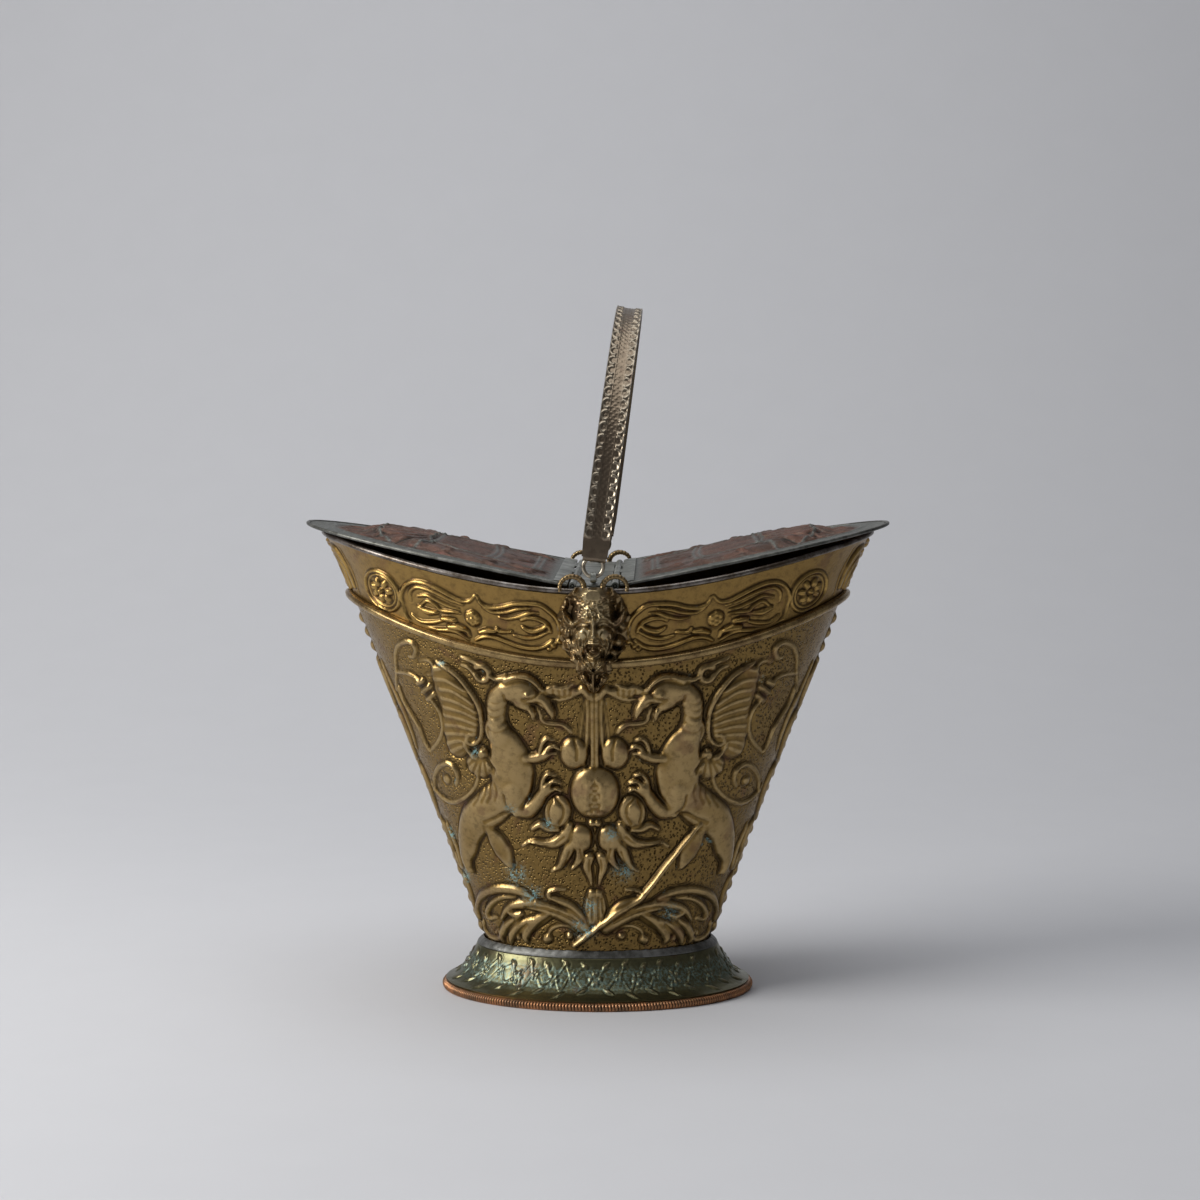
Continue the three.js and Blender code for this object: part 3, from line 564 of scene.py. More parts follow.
def aged_brass(name, bright, ground, dark, verdigris=0.5):
    """Brass gone brown: dark in the hollows with patina and painted shade, rubbed and given a painted highlight on the
    forms, with red and green spots, and matted ground.

    The matted ground is punched with small dark dots, each a pit."""
    f = Finish(name, 0.9, 0.34)
    raised, hollow, matted = f.value("raised"), f.value("hollow"), f.value("matted")
    clouds = f.noise(38, 5, 0.6)
    fine = f.noise(5, 6, 0.7)
    # rubbed wear and painted highlight: raised forms and crests are turned towards the bright colour
    rubbed_and_highlit = f.between(f.math("ADD", raised, f.math("MULTIPLY", f.math("SUBTRACT", clouds, 0.5), 0.9)), 0.1, 0.75)
    colour = f.blend(rubbed_and_highlit, ground, bright)
    colour = f.blend(f.math("MULTIPLY", f.between(fine, 0.45, 0.7), 0.4), colour, dark)
    # painted shade with dark patina: the hollows and chased outlines are turned towards the dark colour
    patina_and_shade = f.between(f.math("ADD", hollow, f.math("MULTIPLY", f.math("SUBTRACT", fine, 0.5), 0.3)), 0.2, 0.9)
    colour = f.blend(f.math("MULTIPLY", patina_and_shade, 0.85), colour, dark)
    red = f.between(f.noise(17, 3, 0.5), 0.58, 0.7)
    colour = f.blend(f.math("MULTIPLY", red, 0.35), colour, (0.115, 0.045, 0.035))
    pits = f.cells(2.3)
    pit = f.math("MULTIPLY", f.math("SUBTRACT", 1.0, f.between(pits, 0.1, 0.42)), matted)
    colour = f.blend(f.math("MULTIPLY", pit, 0.6), colour, dark)
    green = f.math("MULTIPLY", f.between(f.noise(21, 6, 0.75), 0.63, 0.7), f.between(hollow, 0.05, 0.4))
    spots = f.value("verdigris")
    speck = f.between(f.noise(2.2, 4, 0.8), 0.48, 0.56)
    green = f.math("MAXIMUM", f.math("MULTIPLY", green, verdigris), f.math("MULTIPLY", spots, speck), clamp=True)
    colour = f.blend(green, colour, (0.23, 0.42, 0.42))
    f.put(f.shader.inputs["Metallic"], f.math("SUBTRACT", 0.9, f.math("MULTIPLY", green, 0.7)))
    rough = f.math("ADD", f.math("MULTIPLY", fine, 0.2), 0.22)
    rough = f.math("ADD", rough, f.math("MULTIPLY", green, 0.35), clamp=True)
    normal = f.bump(f.math("MULTIPLY", f.between(pits, 0.05, 0.5), matted), 0.7, 1.0)
    normal = f.bump(f.noise(2.6, 4, 0.6), 0.12, 0.5, normal)
    normal = f.bump(f.noise(16, 3, 0.5), 0.5, 0.7, normal)
    return f.done(colour, rough, normal)


def tarnished(name, light, dark, rough=0.35, metal=0.85, size=14.0, speck=None, speck_share=0.6):
    """A plain metal with cloudy tarnish, fine scratches, hollows darkened with tarnish and painted shade and, if given,
    specks of a third colour.
    """
    f = Finish(name, metal, rough)
    clouds = f.noise(size, 6, 0.65)
    fine = f.noise(2.5, 5, 0.7)
    mixture = f.math("ADD", f.math("MULTIPLY", clouds, 0.7), f.math("MULTIPLY", fine, 0.3))
    colour = f.blend(f.between(mixture, 0.38, 0.64), dark, light)
    # painted shade with tarnish: darker where the hollow value is set
    colour = f.blend(f.between(f.value("hollow"), 0.1, 0.7), colour, tuple(0.35 * c for c in dark))
    if speck:
        colour = f.blend(f.between(f.noise(9, 7, 0.8), speck_share, speck_share + 0.07), colour, speck)
    roughness = f.math("ADD", f.math("MULTIPLY", fine, 0.25), rough - 0.1)
    normal = f.bump(f.noise(1.6, 5, 0.7), 0.1, 0.5)
    normal = f.bump(clouds, 0.3, 0.5, normal)
    return f.done(colour, roughness, normal)


BODY_BRASS = aged_brass("body_brass", (0.40, 0.28, 0.125), (0.23, 0.145, 0.045), (0.03, 0.018, 0.008))
COLLAR_BRASS = aged_brass("collar_brass", (0.42, 0.27, 0.085), (0.29, 0.18, 0.055), (0.05, 0.03, 0.013), 0.2)
RIB_BRASS = tarnished("rib_brass", (0.40, 0.28, 0.12), (0.18, 0.115, 0.05), 0.27)
RIM_GREY = tarnished("rim_tarnish", (0.28, 0.255, 0.235), (0.07, 0.052, 0.036), 0.3, size=22)
HINGE_GREY = tarnished("hinge_tarnish", (0.36, 0.37, 0.34), (0.12, 0.13, 0.11), 0.42)
LID_GREY = tarnished("lid_edge_tarnish", (0.22, 0.22, 0.20), (0.075, 0.075, 0.065), 0.42)
SOLDER = tarnished("soft_solder", (0.24, 0.24, 0.23), (0.09, 0.09, 0.08), 0.45)
PLATE_BROWN = tarnished("bottom_brown", (0.26, 0.20, 0.11), (0.09, 0.065, 0.035), 0.45)
FOOT_BRONZE = aged_brass("foot_bronze", (0.24, 0.20, 0.11), (0.12, 0.115, 0.06), (0.02, 0.022, 0.014), 0.7)
FOOT_COPPER = tarnished("foot_copper", (0.52, 0.24, 0.11), (0.20, 0.12, 0.07), 0.36, speck=(0.34, 0.30, 0.10))
MASK_BRONZE = aged_brass("mask_bronze", (0.40, 0.31, 0.17), (0.25, 0.175, 0.085), (0.04, 0.03, 0.018), 0.3)
HANDLE_BRONZE = aged_brass("handle_bronze", (0.34, 0.29, 0.22), (0.20, 0.155, 0.11), (0.05, 0.038, 0.027), 0.1)
RING_BRONZE = tarnished("ring_bronze", (0.52, 0.46, 0.36), (0.16, 0.13, 0.09), 0.3)


def lid_finish():
    """Red-brown copper field, broken and scaly, and a grey-green margin and panel lines."""
    f = Finish("lid_copper", 0.7, 0.45)
    raised, hollow, grey = f.value("raised"), f.value("hollow"), f.value("grey")
    fine = f.noise(3, 6, 0.75)
    clouds = f.noise(24, 5, 0.6)
    red = f.blend(f.between(clouds, 0.4, 0.62), (0.085, 0.048, 0.034), (0.15, 0.075, 0.052))
    red = f.blend(f.math("MULTIPLY", f.between(fine, 0.5, 0.66), 0.55), red, (0.17, 0.16, 0.135))
    red = f.blend(f.math("MULTIPLY", f.between(f.noise(6, 5, 0.7), 0.57, 0.66), 0.6), red, (0.20, 0.062, 0.045))
    pale = f.blend(f.between(fine, 0.4, 0.65), (0.085, 0.09, 0.08), (0.19, 0.195, 0.175))
    colour = f.blend(f.math("ADD", grey, f.math("MULTIPLY", f.math("SUBTRACT", fine, 0.5), 0.9), clamp=True), red, pale)
    # painted shade with dark patina: the hollows of the relief are darkened nearly to black
    colour = f.blend(f.between(hollow, 0.1, 0.6), colour, (0.03, 0.026, 0.02))
    gold = f.math("MULTIPLY", f.between(f.noise(26, 4, 0.6), 0.6, 0.68), f.between(raised, 0.4, 0.9))
    colour = f.blend(f.math("MULTIPLY", gold, 0.6), colour, (0.26, 0.16, 0.05))
    rough = f.math("ADD", f.math("MULTIPLY", fine, 0.25), 0.36)
    normal = f.bump(fine, 0.5, 0.8)
    normal = f.bump(clouds, 0.5, 0.5, normal)
    return f.done(colour, rough, normal)


LID_COPPER = lid_finish()

# ---------------------------------------------------------------- the embossed picture on the body
# Places are pixels of the photograph's left half, widths are half widths in pixels, heights are mm.
# The drawing is the same to the left and right of the stem in the middle.

WING = {
    "membrane": ([(439, 673), (446, 687), (454, 701), (459, 715), (460, 730), (458, 744)],
                 [9, 14.5, 18.5, 20.5, 20, 14], 2.6),
    "leading_edge": ([(436, 661), (447, 667), (457, 674), (466, 684), (475, 697), (480.5, 709), (482.5, 722),
                      (482, 735), (478, 742)], [1.4, 2, 2.4, 2.8, 3, 3, 2.8, 2.6, 2.2], 5.2),
    "inner_curl": ([(478, 742), (473, 744), (468, 740), (470, 734), (475, 734)], [2.4, 2.2, 2, 1.8, 1.6], 4.8),
    "knob": ([(484, 752), (484.5, 753)], [6, 5.8], 7.6),
    "knob_stalk": ([(466, 742), (470, 751), (477, 757)], [1.6, 2.4, 3], 4.6),
    "fan": ([(476, 764), (482, 766), (490, 763)], [11, 12.5, 9], 4.2),
}
WING_RIBS = [
    [(433, 668), (444, 668), (455, 676)],
    [(434, 678), (446, 679), (458, 686), (469, 693)],
    [(441, 688), (453, 690), (464, 697), (474, 705)],
    [(443, 697), (455, 700), (467, 706), (477, 713)],
    [(445, 706), (457, 709), (468, 713), (479, 720)],
    [(445, 714), (457, 716.5), (468, 720), (478, 725)],
    [(446, 724), (457, 724.5), (467, 727), (476, 730)],
    [(446, 733), (456, 732.5), (467, 733.5)],
    [(448, 743), (457, 740), (466, 740)],
    [(452, 751), (460, 747), (467, 744.5)],
]
FAN_CUTS = [
    [(480, 756), (466, 767)], [(481, 757), (473, 775)], [(483, 758), (480.5, 777)], [(486, 758), (488, 776)],
    [(489, 757), (496, 771)],
]
GRIFFIN = {
    "haunch": ([(506, 792), (492, 806), (477, 818), (470, 832), (468.5, 845), (468, 856), (471, 866), (474, 871)],
               [18, 20, 19, 16, 14, 9, 4.5, 2], 6.4),
    "hind_shank": ([(490, 828), (497, 840), (503, 850), (508, 860), (512, 867)], [5, 9.5, 10, 6, 2], 4.4),
    "body": ([(497, 722), (500, 733), (506, 745), (510, 758), (512, 772), (512, 786), (509, 797)],
             [9.5, 12.5, 17, 21, 23, 21, 18], 8.4),
    "neck": ([(505, 689), (498, 699), (496.5, 711), (498, 722), (501, 734)], [10, 11.5, 10.5, 10, 12.5], 7.8),
    "skull": ([(514, 690), (521, 691), (527, 692)], [13, 14, 11.5], 8.6),
    "brow": ([(506, 679), (515, 675.5), (527, 676), (536, 681.5), (542, 689)], [3, 3.2, 3.2, 3, 2.4], 7.6),
    "beak": ([(532, 695), (541, 698), (547, 704), (552, 711), (553.5, 718)], [8, 7, 6, 4.2, 1.4], 8.2),
    "jaw": ([(519, 702), (527, 706), (533, 712), (534, 720)], [6, 5.6, 3.6, 1.4], 6.4),
    "tongue": ([(537, 706), (540, 714), (543, 721), (552, 723.5), (561, 724), (568, 728), (571, 733)],
               [1.2, 1.5, 2, 2.8, 2.6, 3, 1.6], 3.4),
    "upper_arm": ([(514, 788), (516, 798), (519, 808)], [10, 12, 8], 8.8),
    "forearm": ([(519, 812), (529, 809.5), (537, 802), (543, 793), (547, 786)], [5, 9, 7.6, 6.4, 6], 8.2),
    "claw_1": ([(542, 786), (544, 778), (549, 773), (555, 775)], [3, 3, 2.6, 1.6], 6.2),
    "claw_2": ([(546, 789), (549, 783), (555, 780), (561, 783)], [3, 3, 2.6, 1.6], 6.2),
    "claw_3": ([(548, 793), (553, 788.5), (558, 788), (562, 791)], [3, 3, 2.4, 1.4], 6.2),
    "upper_paw": ([(527, 757), (535, 757.5), (543, 755.5), (548, 753)], [4.6, 6, 5.6, 4.4], 6.2),
    "toe_1": ([(540, 751), (543, 742), (548, 738), (553, 740)], [2.6, 2.8, 2.6, 1.6], 5.0),
    "toe_2": ([(544, 753), (549, 747), (555, 746), (559, 749)], [2.6, 2.8, 2.4, 1.4], 5.0),
    "toe_3": ([(546, 757), (551, 753), (556, 753)], [2.6, 2.4, 1.4], 4.6),
    "hackle": ([(490, 675), (496, 678.5), (502, 677.5), (507, 675)], [1.6, 2.6, 2.6, 1.8], 5.6),
    "cheek": ([(491, 716), (488.5, 722), (488, 729), (490, 737)], [2.4, 3, 3, 2], 5.0),
}
GRIFFIN_CUTS = [
    [(511, 703), (518, 707.5), (527, 710.5), (531, 706)],
    [(506, 692), (507, 699), (511, 704)],
    [(524, 697), (529, 697.5), (535, 695), (540, 691)],
    [(537, 700), (543, 702), (546, 708)],
    [(507, 792), (508, 799), (511, 806), (518, 810)],
    [(484, 752), (489, 760), (497, 768)],
    [(487, 820), (497, 816), (505, 812), (512, 810)],
]
NECK_WRINKLES = [
    [(488, 704), (496, 708), (505, 706)], [(488, 711), (496, 715), (505, 713)], [(490, 719), (498, 722), (506, 720)],
    [(489, 697), (497, 701), (506, 699)], [(491, 726), (499, 729), (508, 727)],
]
FLANK_WRINKLES = [
    [(486, 786), (487, 793), (484, 800)], [(491, 784), (493, 792), (490, 800)], [(497, 782), (500, 790), (498, 798)],
    [(480, 790), (480, 796), (476, 803)],
]
SCROLLS = {
    "curl_outer": ([(432, 782), (438, 792), (447, 800), (456, 801.5), (467, 796), (475, 787), (479, 775)],
                   [1.6, 2.2, 2.6, 2.6, 2.2, 1.8, 1.4], 3.6),
    "curl_back": ([(436, 789), (435, 777), (439, 767), (447, 763), (455, 768), (458, 777), (456, 785)],
                  [1.6, 2.4, 2.8, 2.8, 2.6, 2.2, 1.4], 4.4),
    "curl_heart": ([(446, 779), (447, 780)], [5, 5], 2.2),
    "crest_scroll": ([(476, 667), (484, 666), (489, 672), (487, 679), (481, 680), (476, 674)],
                     [3, 3.6, 3.6, 3.4, 3.2, 2.6], 5.0),
    "crest_upper": ([(461, 657), (469, 660), (477, 663), (484, 666)], [1.6, 2, 2.4, 3], 4.4),
    "crest_lower": ([(461, 665), (468, 667.5), (473, 672), (478, 680)], [1.4, 1.8, 2.2, 2.6], 3.6),
    "ribbon": ([(543, 692), (552, 691), (563, 692), (575, 692), (585, 690)], [3, 5, 6.4, 5, 2], 3.6),
    "ribbon_top": ([(544, 689), (554, 686.5), (562, 687.5), (573, 684.5)], [1.2, 1.7, 1.7, 1.2], 4.8),
    "ribbon_foot": ([(549, 697.5), (560, 699.5), (571, 697), (580, 692)], [1.2, 1.7, 1.7, 1.2], 4.2),
}
RIBBON_FLUTES = [[(553, 687), (554, 697)], [(559, 688), (560, 698)], [(565, 688), (565, 697)], [(571, 687), (570, 696)]]
FRUITS = [
    ((574, 753), (14, 16.5), 7.6, 0), ((558, 811), (14, 17.5), 8.0, 10), ((592, 822.5), (4.6, 4.6), 5.6, 0),
    ((581, 838), (12.5, 14.5), 7.4, 0),
]
FRUIT_CUTS = [
    [(574, 739), (577, 748), (577, 758)], [(556, 797), (563, 804), (564, 813), (560, 822)],
    [(553, 799), (549, 808), (551, 820)], [(592, 829), (592.5, 840), (592, 850)],
]
POMEGRANATE = ((593, 792), (22.5, 27), 10.5)
POMEGRANATE_SLOT = [(595, 781), (594, 790), (594, 800), (592, 808)]
STEMS = {
    "stem_middle": ([(592, 693), (592.3, 720), (592.5, 745), (592.5, 766)], [2.4, 2.4, 2.6, 3], 3.4),
    "stem_side": ([(587.6, 695), (587.6, 720), (586.5, 745), (584, 765)], [1.7, 1.8, 2, 2.2], 3.0),
    "stem_outer": ([(585, 700), (582, 722), (580, 738)], [1.1, 1.4, 1.4], 1.8),
    "calyx": ([(583, 688), (587, 694), (592, 698)], [4, 4.4, 3], 4.0),
}
LEAVES = {
    "leaf_left": ([(522, 846), (532, 841), (545, 843), (557, 842), (566, 834), (570, 824)],
                  [1, 2.6, 4, 6, 6.6, 4], 4.8),
    "leaf_left_lip": ([(533, 828), (541, 824), (549, 828), (558, 829)], [3, 4.4, 4.4, 3], 4.6),
    "leaf_low": ([(552, 871), (560, 866), (565, 857), (570, 847), (577, 840)], [1, 3.4, 5.4, 6.6, 5], 4.8),
    "leaf_fold": ([(572, 868), (578, 861), (580, 852), (578, 844)], [2, 4, 5, 4], 5.2),
    "leaf_centre": ([(592, 886), (590, 876), (587, 866), (589, 857)], [1, 3, 5, 6], 4.6),
}
LEAF_CUTS = [
    [(527, 843), (540, 845), (554, 843), (565, 835)], [(556, 869), (565, 862), (570, 850)],
    [(574, 865), (581, 856), (580, 847)], [(591, 881), (589, 868), (590, 858)],
]
ACANTHUS = {
    "palmette_bud": ([(592.5, 921), (592.5, 908), (592.5, 893)], [5, 8.5, 5], 5.4),
    "upper_leaf": ([(586, 927), (579, 916), (569, 905), (558, 900), (550, 897), (549, 892), (556, 889.5), (565, 889)],
                   [6, 6.4, 5.6, 4.4, 3.4, 2.6, 2.6, 1.4], 5.8),
    "main_stem": ([(585, 928), (568, 917), (551, 910), (536, 905), (521, 904), (509, 908), (503, 918)],
                  [7, 7.6, 7, 6.4, 5.4, 4.4, 3], 5.6),
    "outer_scroll": ([(541, 905), (522, 893), (505, 889), (491, 890.5), (481, 897), (478.5, 908), (481, 918)],
                     [4.6, 5.4, 5.6, 5.4, 5, 4.2, 3], 5.0),
    "inner_leaf": ([(516, 897), (503, 897), (493, 902), (488, 911), (490, 918), (497, 917)],
                   [1.4, 3.2, 4, 4.4, 3.6, 1.8], 4.0),
    "under_leaf": ([(556, 912), (543, 918), (532, 926), (526, 936), (528, 942)], [4, 6.4, 6.8, 5, 1.6], 5.0),
    "under_lobe": ([(532, 920), (520, 927), (513, 935), (512, 943)], [4, 6.4, 6, 1.8], 4.4),
    "outer_lobe": ([(520, 917), (507, 926), (502, 936), (504, 941)], [3, 5.6, 4.6, 2], 3.8),
    "heel_curl": ([(484, 921), (487, 931), (494, 938), (501, 938), (503, 933), (498, 930)],
                  [2.4, 2.8, 3, 2.8, 2.2, 1.4], 3.8),
    "bean": ([(511, 912.5), (516, 914.5), (521, 914)], [3.4, 4, 3.2], 5.4),
    "arch": ([(548, 936), (552, 929), (561, 925.5), (571, 927.5), (578, 933)], [1.6, 1.9, 1.9, 1.8, 1.4], 3.0),
}
ACANTHUS_CUTS = [
    [(584, 921), (572, 910), (559, 904.5), (552, 900)], [(578, 921), (560, 912), (543, 906.5), (526, 906)],
    [(535, 899), (516, 894.5), (499, 895), (488, 902), (484, 911)], [(552, 915), (540, 924), (532, 935)],
    [(528, 923), (519, 932), (515, 940)], [(516, 921), (508, 931)], [(592.5, 897), (592.5, 919)],
    [(589.5, 898), (588, 912)],
]
BERRIES = [((547.5, 939), 5.2), ((570, 936), 4.2), ((497, 932), 2.2), ((529, 692), 2.3), ((545, 713), 1.6),
           ((519, 938), 2.2)]
SIDE_SHIELD = {
    "shield_right": ([(432, 700), (438, 708), (442, 719), (442.5, 731), (438, 742), (430.5, 751)],
                     [1.8, 2, 2, 2, 1.8, 1.4], 4.2),
    "shield_left": ([(399, 686), (405, 701), (413, 715), (420, 727), (424.5, 739), (430, 750)],
                    [1.8, 2, 2, 2, 1.8, 1.4], 4.6),
    "shield_top": ([(397, 672), (406, 672.5), (414, 676), (420, 681)], [1.4, 1.8, 1.8, 1.8], 4.4),
    "knot_1": ([(419, 683), (423, 680.5)], [3.2, 3.2], 5.2),
    "knot_2": ([(424, 691), (430, 686)], [3.4, 3.4], 6.0),
    "knot_3": ([(428, 699), (434, 694)], [2.8, 2.8], 5.0),
    "hook": ([(396.5, 668), (395.5, 656), (398, 646), (405, 641.5), (412, 643), (416, 649), (414, 656), (409, 656)],
             [1.6, 2.2, 2.6, 2.8, 2.8, 2.8, 2.4, 1.6], 4.0),
    "hook_tail": ([(397, 690), (396.5, 679), (396.5, 668)], [1.6, 2, 1.8], 4.0),
    "wing_scroll": ([(419, 661), (427, 660), (433, 665), (433, 673), (427, 675)], [1.2, 1.8, 2, 1.8, 1.2], 2.6),
}
# The ends of the oval: shares of the quarter round, and heights in mm.
END_STALK = {
    "stalk": ([(1.0, 40), (1.0, 120), (1.0, 200), (1.0, 288)], [3.2, 3.6, 4, 3], 1.6),
    "leaf_a": ([(0.995, 205), (0.955, 218), (0.925, 234), (0.935, 248)], [4, 8, 7, 3], 6.5),
    "leaf_b": ([(0.995, 168), (0.945, 178), (0.905, 193), (0.90, 207), (0.925, 213)], [4, 8, 8, 5, 2.5], 6.2),
    "leaf_c": ([(0.995, 128), (0.94, 138), (0.895, 152), (0.885, 166), (0.91, 173)], [4, 8, 8, 5, 2.5], 6.0),
    "leaf_d": ([(0.995, 90), (0.94, 98), (0.885, 111), (0.87, 124), (0.90, 131)], [4, 7, 7, 5, 2.5], 5.4),
    "leaf_e": ([(0.995, 52), (0.93, 60), (0.87, 72), (0.86, 84), (0.89, 90)], [4, 6.5, 6.5, 4.5, 2.2], 5.0),
    "scroll_foot": ([(0.80, 128), (0.78, 112), (0.80, 98), (0.845, 94), (0.86, 104)], [2, 2.8, 3.2, 3, 2], 4.4),
    "scroll_mid": ([(0.85, 250), (0.83, 232), (0.80, 214), (0.80, 196), (0.83, 184)], [1.8, 2.6, 3, 2.8, 2], 4.0),
}
END_CUTS = [
    [(0.985, 208), (0.95, 222), (0.935, 240)], [(0.985, 171), (0.935, 183), (0.912, 200)],
    [(0.985, 131), (0.93, 143), (0.90, 160)], [(0.985, 93), (0.93, 102), (0.885, 118)],
    [(0.985, 55), (0.92, 64), (0.875, 78)],
]
HUSK_PITCH = 10.6
SPEAR = [(699, 822), (668, 861), (640, 897), (617, 912), (596, 928), (575, 944)]
VERDIGRIS_SPOTS = [
    ((516, 874), 9), ((532, 895), 8), ((590, 906), 7), ((623, 871), 8), ((579, 926), 7), ((669, 911), 7),
    ((452, 833), 6), ((467, 875), 7), ((442, 664), 3), ((476, 752), 4), ((513, 806), 5), ((549, 823), 5),
    ((611, 832), 5), ((587, 929), 7),
]


def draw_body(relief, s):
    """The embossed picture, alike on both sides of the middle but for the spear.

    s is the length from the middle with its sign, where the spear is set."""
    wall, px = body_wall.seen, 1 / PICTURE_SCALE
    scaled = lambda half: np.asarray(half, float) * px
    for forms, share in ((WING, 0.75), (SCROLLS, 0.6), (STEMS, 0.7), (LEAVES, 0.8), (ACANTHUS, 0.5),
                         (SIDE_SHIELD, 0.6)):
        for points, half, rise in forms.values():
            relief.swell(wall(points), scaled(half), rise * share)
    for points in WING_RIBS:
        relief.ridge(wall(points), 1.5, 1.3)
    for points, half, rise in END_STALK.values():
        relief.swell(body_wall.at_share(points), np.array(half) * 0.75, rise * 0.45)
    for up in np.arange(46, 288, HUSK_PITCH):
        relief.bulb(body_wall.at_share([(1.0, up)])[0], (6.2, 5.6), 3.4)
    for points in END_CUTS:
        relief.ridge(body_wall.at_share(points), 1.2, -1.0)
    for centre, radii, rise, turn in FRUITS:
        relief.bulb(wall([centre])[0], scaled(radii), rise * 0.7, -turn)
    for points, half, rise in GRIFFIN.values():
        relief.swell(wall(points), scaled(half), rise * 0.72)
    centre, radii, rise = POMEGRANATE
    relief.bulb(wall([centre])[0], scaled(radii), rise * 0.75)
    slot = wall(POMEGRANATE_SLOT)
    relief.ridge(slot, [3.2, 5.4, 5.4, 3], -2.6)
    grains = slot[:, None] + np.array([(-2.2, 1.5), (0, 0), (2.2, -1.5), (-1.2, -2.8), (1.4, 3.2)])
    for grain in grains.reshape(-1, 2):
        relief.bulb(grain, (1.5, 1.5), 1.5, add=True)
    for sign in (-1, 1):
        relief.ridge(slot + (sign * 4.8, 0), 1.2, 0.9)
    for centre, radius in BERRIES:
        relief.bulb(wall([centre])[0], (radius * px, radius * px), 2.6, add=True)
    for cuts, half, depth in ((GRIFFIN_CUTS, 1.5, -1.8), (FRUIT_CUTS, 1.5, -2.0), (LEAF_CUTS, 1.3, -1.4),
                              (ACANTHUS_CUTS, 1.3, -1.6), (FAN_CUTS, 1.2, -1.4), (NECK_WRINKLES, 1.5, -0.8),
                              (FLANK_WRINKLES, 1.6, -0.6), (RIBBON_FLUTES, 1.1, -1.3)):
        for points in cuts:
            relief.ridge(wall(points), half, depth)
    relief.chase(0.75, 1.0)
    mirrored = relief.across
    relief.across = s
    relief.swell(wall(SPEAR), [1.2, 2.2, 2.6, 2.8, 2.8, 2.6], 5.2)
    relief.across = mirrored


# ---------------------------------------------------------------- the frieze on the collar

FRIEZE_LEFT = {
    "upper_edge": ([(404, 606), (401.5, 595), (405, 586), (413, 581.5), (424, 582.5), (437, 588), (449, 594.5),
                    (460, 600), (469, 601), (475, 595)], [1.4, 2, 2.3, 2.4, 2.4, 2.4, 2.3, 2.2, 1.9, 1], 3.0),
    "strand_2": ([(411, 600), (410, 592), (416, 587), (427, 589), (440, 594.5), (452, 600.5), (463, 604.5)],
                 [1.2, 1.8, 2, 2, 2, 1.8, 1.2], 2.6),
    "strand_3": ([(417, 596), (427, 595), (437, 600), (448, 605.5), (459, 609)], [1.3, 1.9, 1.9, 1.8, 1.2], 2.6),
    "strand_4": ([(419, 607), (427, 600.5), (436, 605), (441, 610), (452, 611.5), (460, 613)],
                 [1.3, 1.8, 1.9, 1.9, 1.8, 1.2], 2.4),
    "eye": ([(419, 606), (428, 611), (437, 612)], [2, 4, 2.2], 3.4),
    "lower_edge": ([(404, 606), (408, 617), (416, 625), (427, 629), (440, 629.5), (452, 630), (462, 634),
                    (469, 640)], [1.4, 2, 2.3, 2.4, 2.4, 2.6, 2.2, 1.2], 3.0),
    "lower_inner": ([(412, 614), (421, 621), (433, 622), (444, 620)], [1.3, 2, 2.2, 1.3], 2.4),
    "bulb_1": ([(443, 618), (449, 619), (455, 620)], [2.6, 3.4, 2.6], 3.8),
    "bulb_2": ([(450, 626), (458, 627), (465, 629)], [3, 4.4, 3], 4.4),
    "bulb_leaf": ([(468, 631), (470, 636)], [2.6, 1.6], 2.6),
}
FRIEZE_RIGHT = {
    "upper_edge": ([(477, 596), (481, 603), (489, 607), (501, 607), (514, 604), (527, 603.5), (540, 605),
                    (549, 611), (556, 618), (560, 628), (560, 636), (556, 643)],
                   [1, 1.9, 2.3, 2.4, 2.4, 2.4, 2.4, 2.4, 2.3, 2, 1.6, 1.2], 3.0),
    "strand_2": ([(483, 607), (493, 612), (506, 612), (518, 609), (530, 608)], [1.2, 1.9, 2, 1.9, 1.2], 2.6),
    "strand_3": ([(499, 617), (508, 618.5), (519, 616.5), (529, 613), (538, 613)], [1.2, 1.9, 1.9, 1.8, 1.2], 2.6),
    "eye_top": ([(521, 620), (528, 617.5), (538, 619), (547, 624), (551, 632)], [1.6, 2.2, 2.4, 2.2, 1.4], 3.0),
    "eye": ([(523, 627), (531, 631), (541, 629), (547, 625)], [1.8, 3, 3, 1.8], 3.6),
    "bar": ([(497, 628), (501, 631.5), (512, 631.5)], [1.7, 2, 1.5], 3.4),
    "under_eye": ([(514, 635), (525, 638), (537, 637), (548, 632)], [1.3, 2, 2, 1.3], 2.6),
    "lower_edge": ([(476, 640), (484, 636.5), (494, 637), (505, 641), (518, 646), (532, 648.5), (544, 646.5),
                    (553, 640)], [1.2, 2.3, 2.4, 2.4, 2.4, 2.4, 2.2, 1.3], 3.0),
    "bulge": ([(480, 632), (487, 630.5), (495, 631)], [2.2, 3.4, 2.2], 3.8),
    "bunch_1": ([(553, 645), (554, 646)], [3, 3], 3.4),
    "bunch_2": ([(559, 641), (560, 642)], [2.6, 2.6], 3.0),
    "bunch_3": ([(549, 649), (550, 649)], [2.2, 2.2], 2.6),
}
ROSETTE = ((473, 618), 8.6)
FLOWER_OVAL = ((382, 590), (18.5, 21.5))
END_LOBES = {
    "lobe_1": ([(0.80, 12), (0.80, 28), (0.835, 40), (0.885, 43)], [2, 3.6, 4.2, 2.4], 5.0),
    "lobe_2": ([(0.845, 10), (0.845, 24), (0.88, 33), (0.925, 35)], [2, 3.8, 4.4, 2.4], 5.4),
    "lobe_3": ([(0.885, 7), (0.895, 17), (0.93, 24), (0.97, 25)], [2, 3.8, 4.2, 2.4], 5.6),
    "lobe_4": ([(0.93, 5), (0.945, 11), (0.975, 15)], [2, 3.4, 2.6], 5.2),
    "border": ([(0.785, 6), (0.772, 24), (0.782, 44)], [1.3, 1.8, 1.2], 2.6),
}


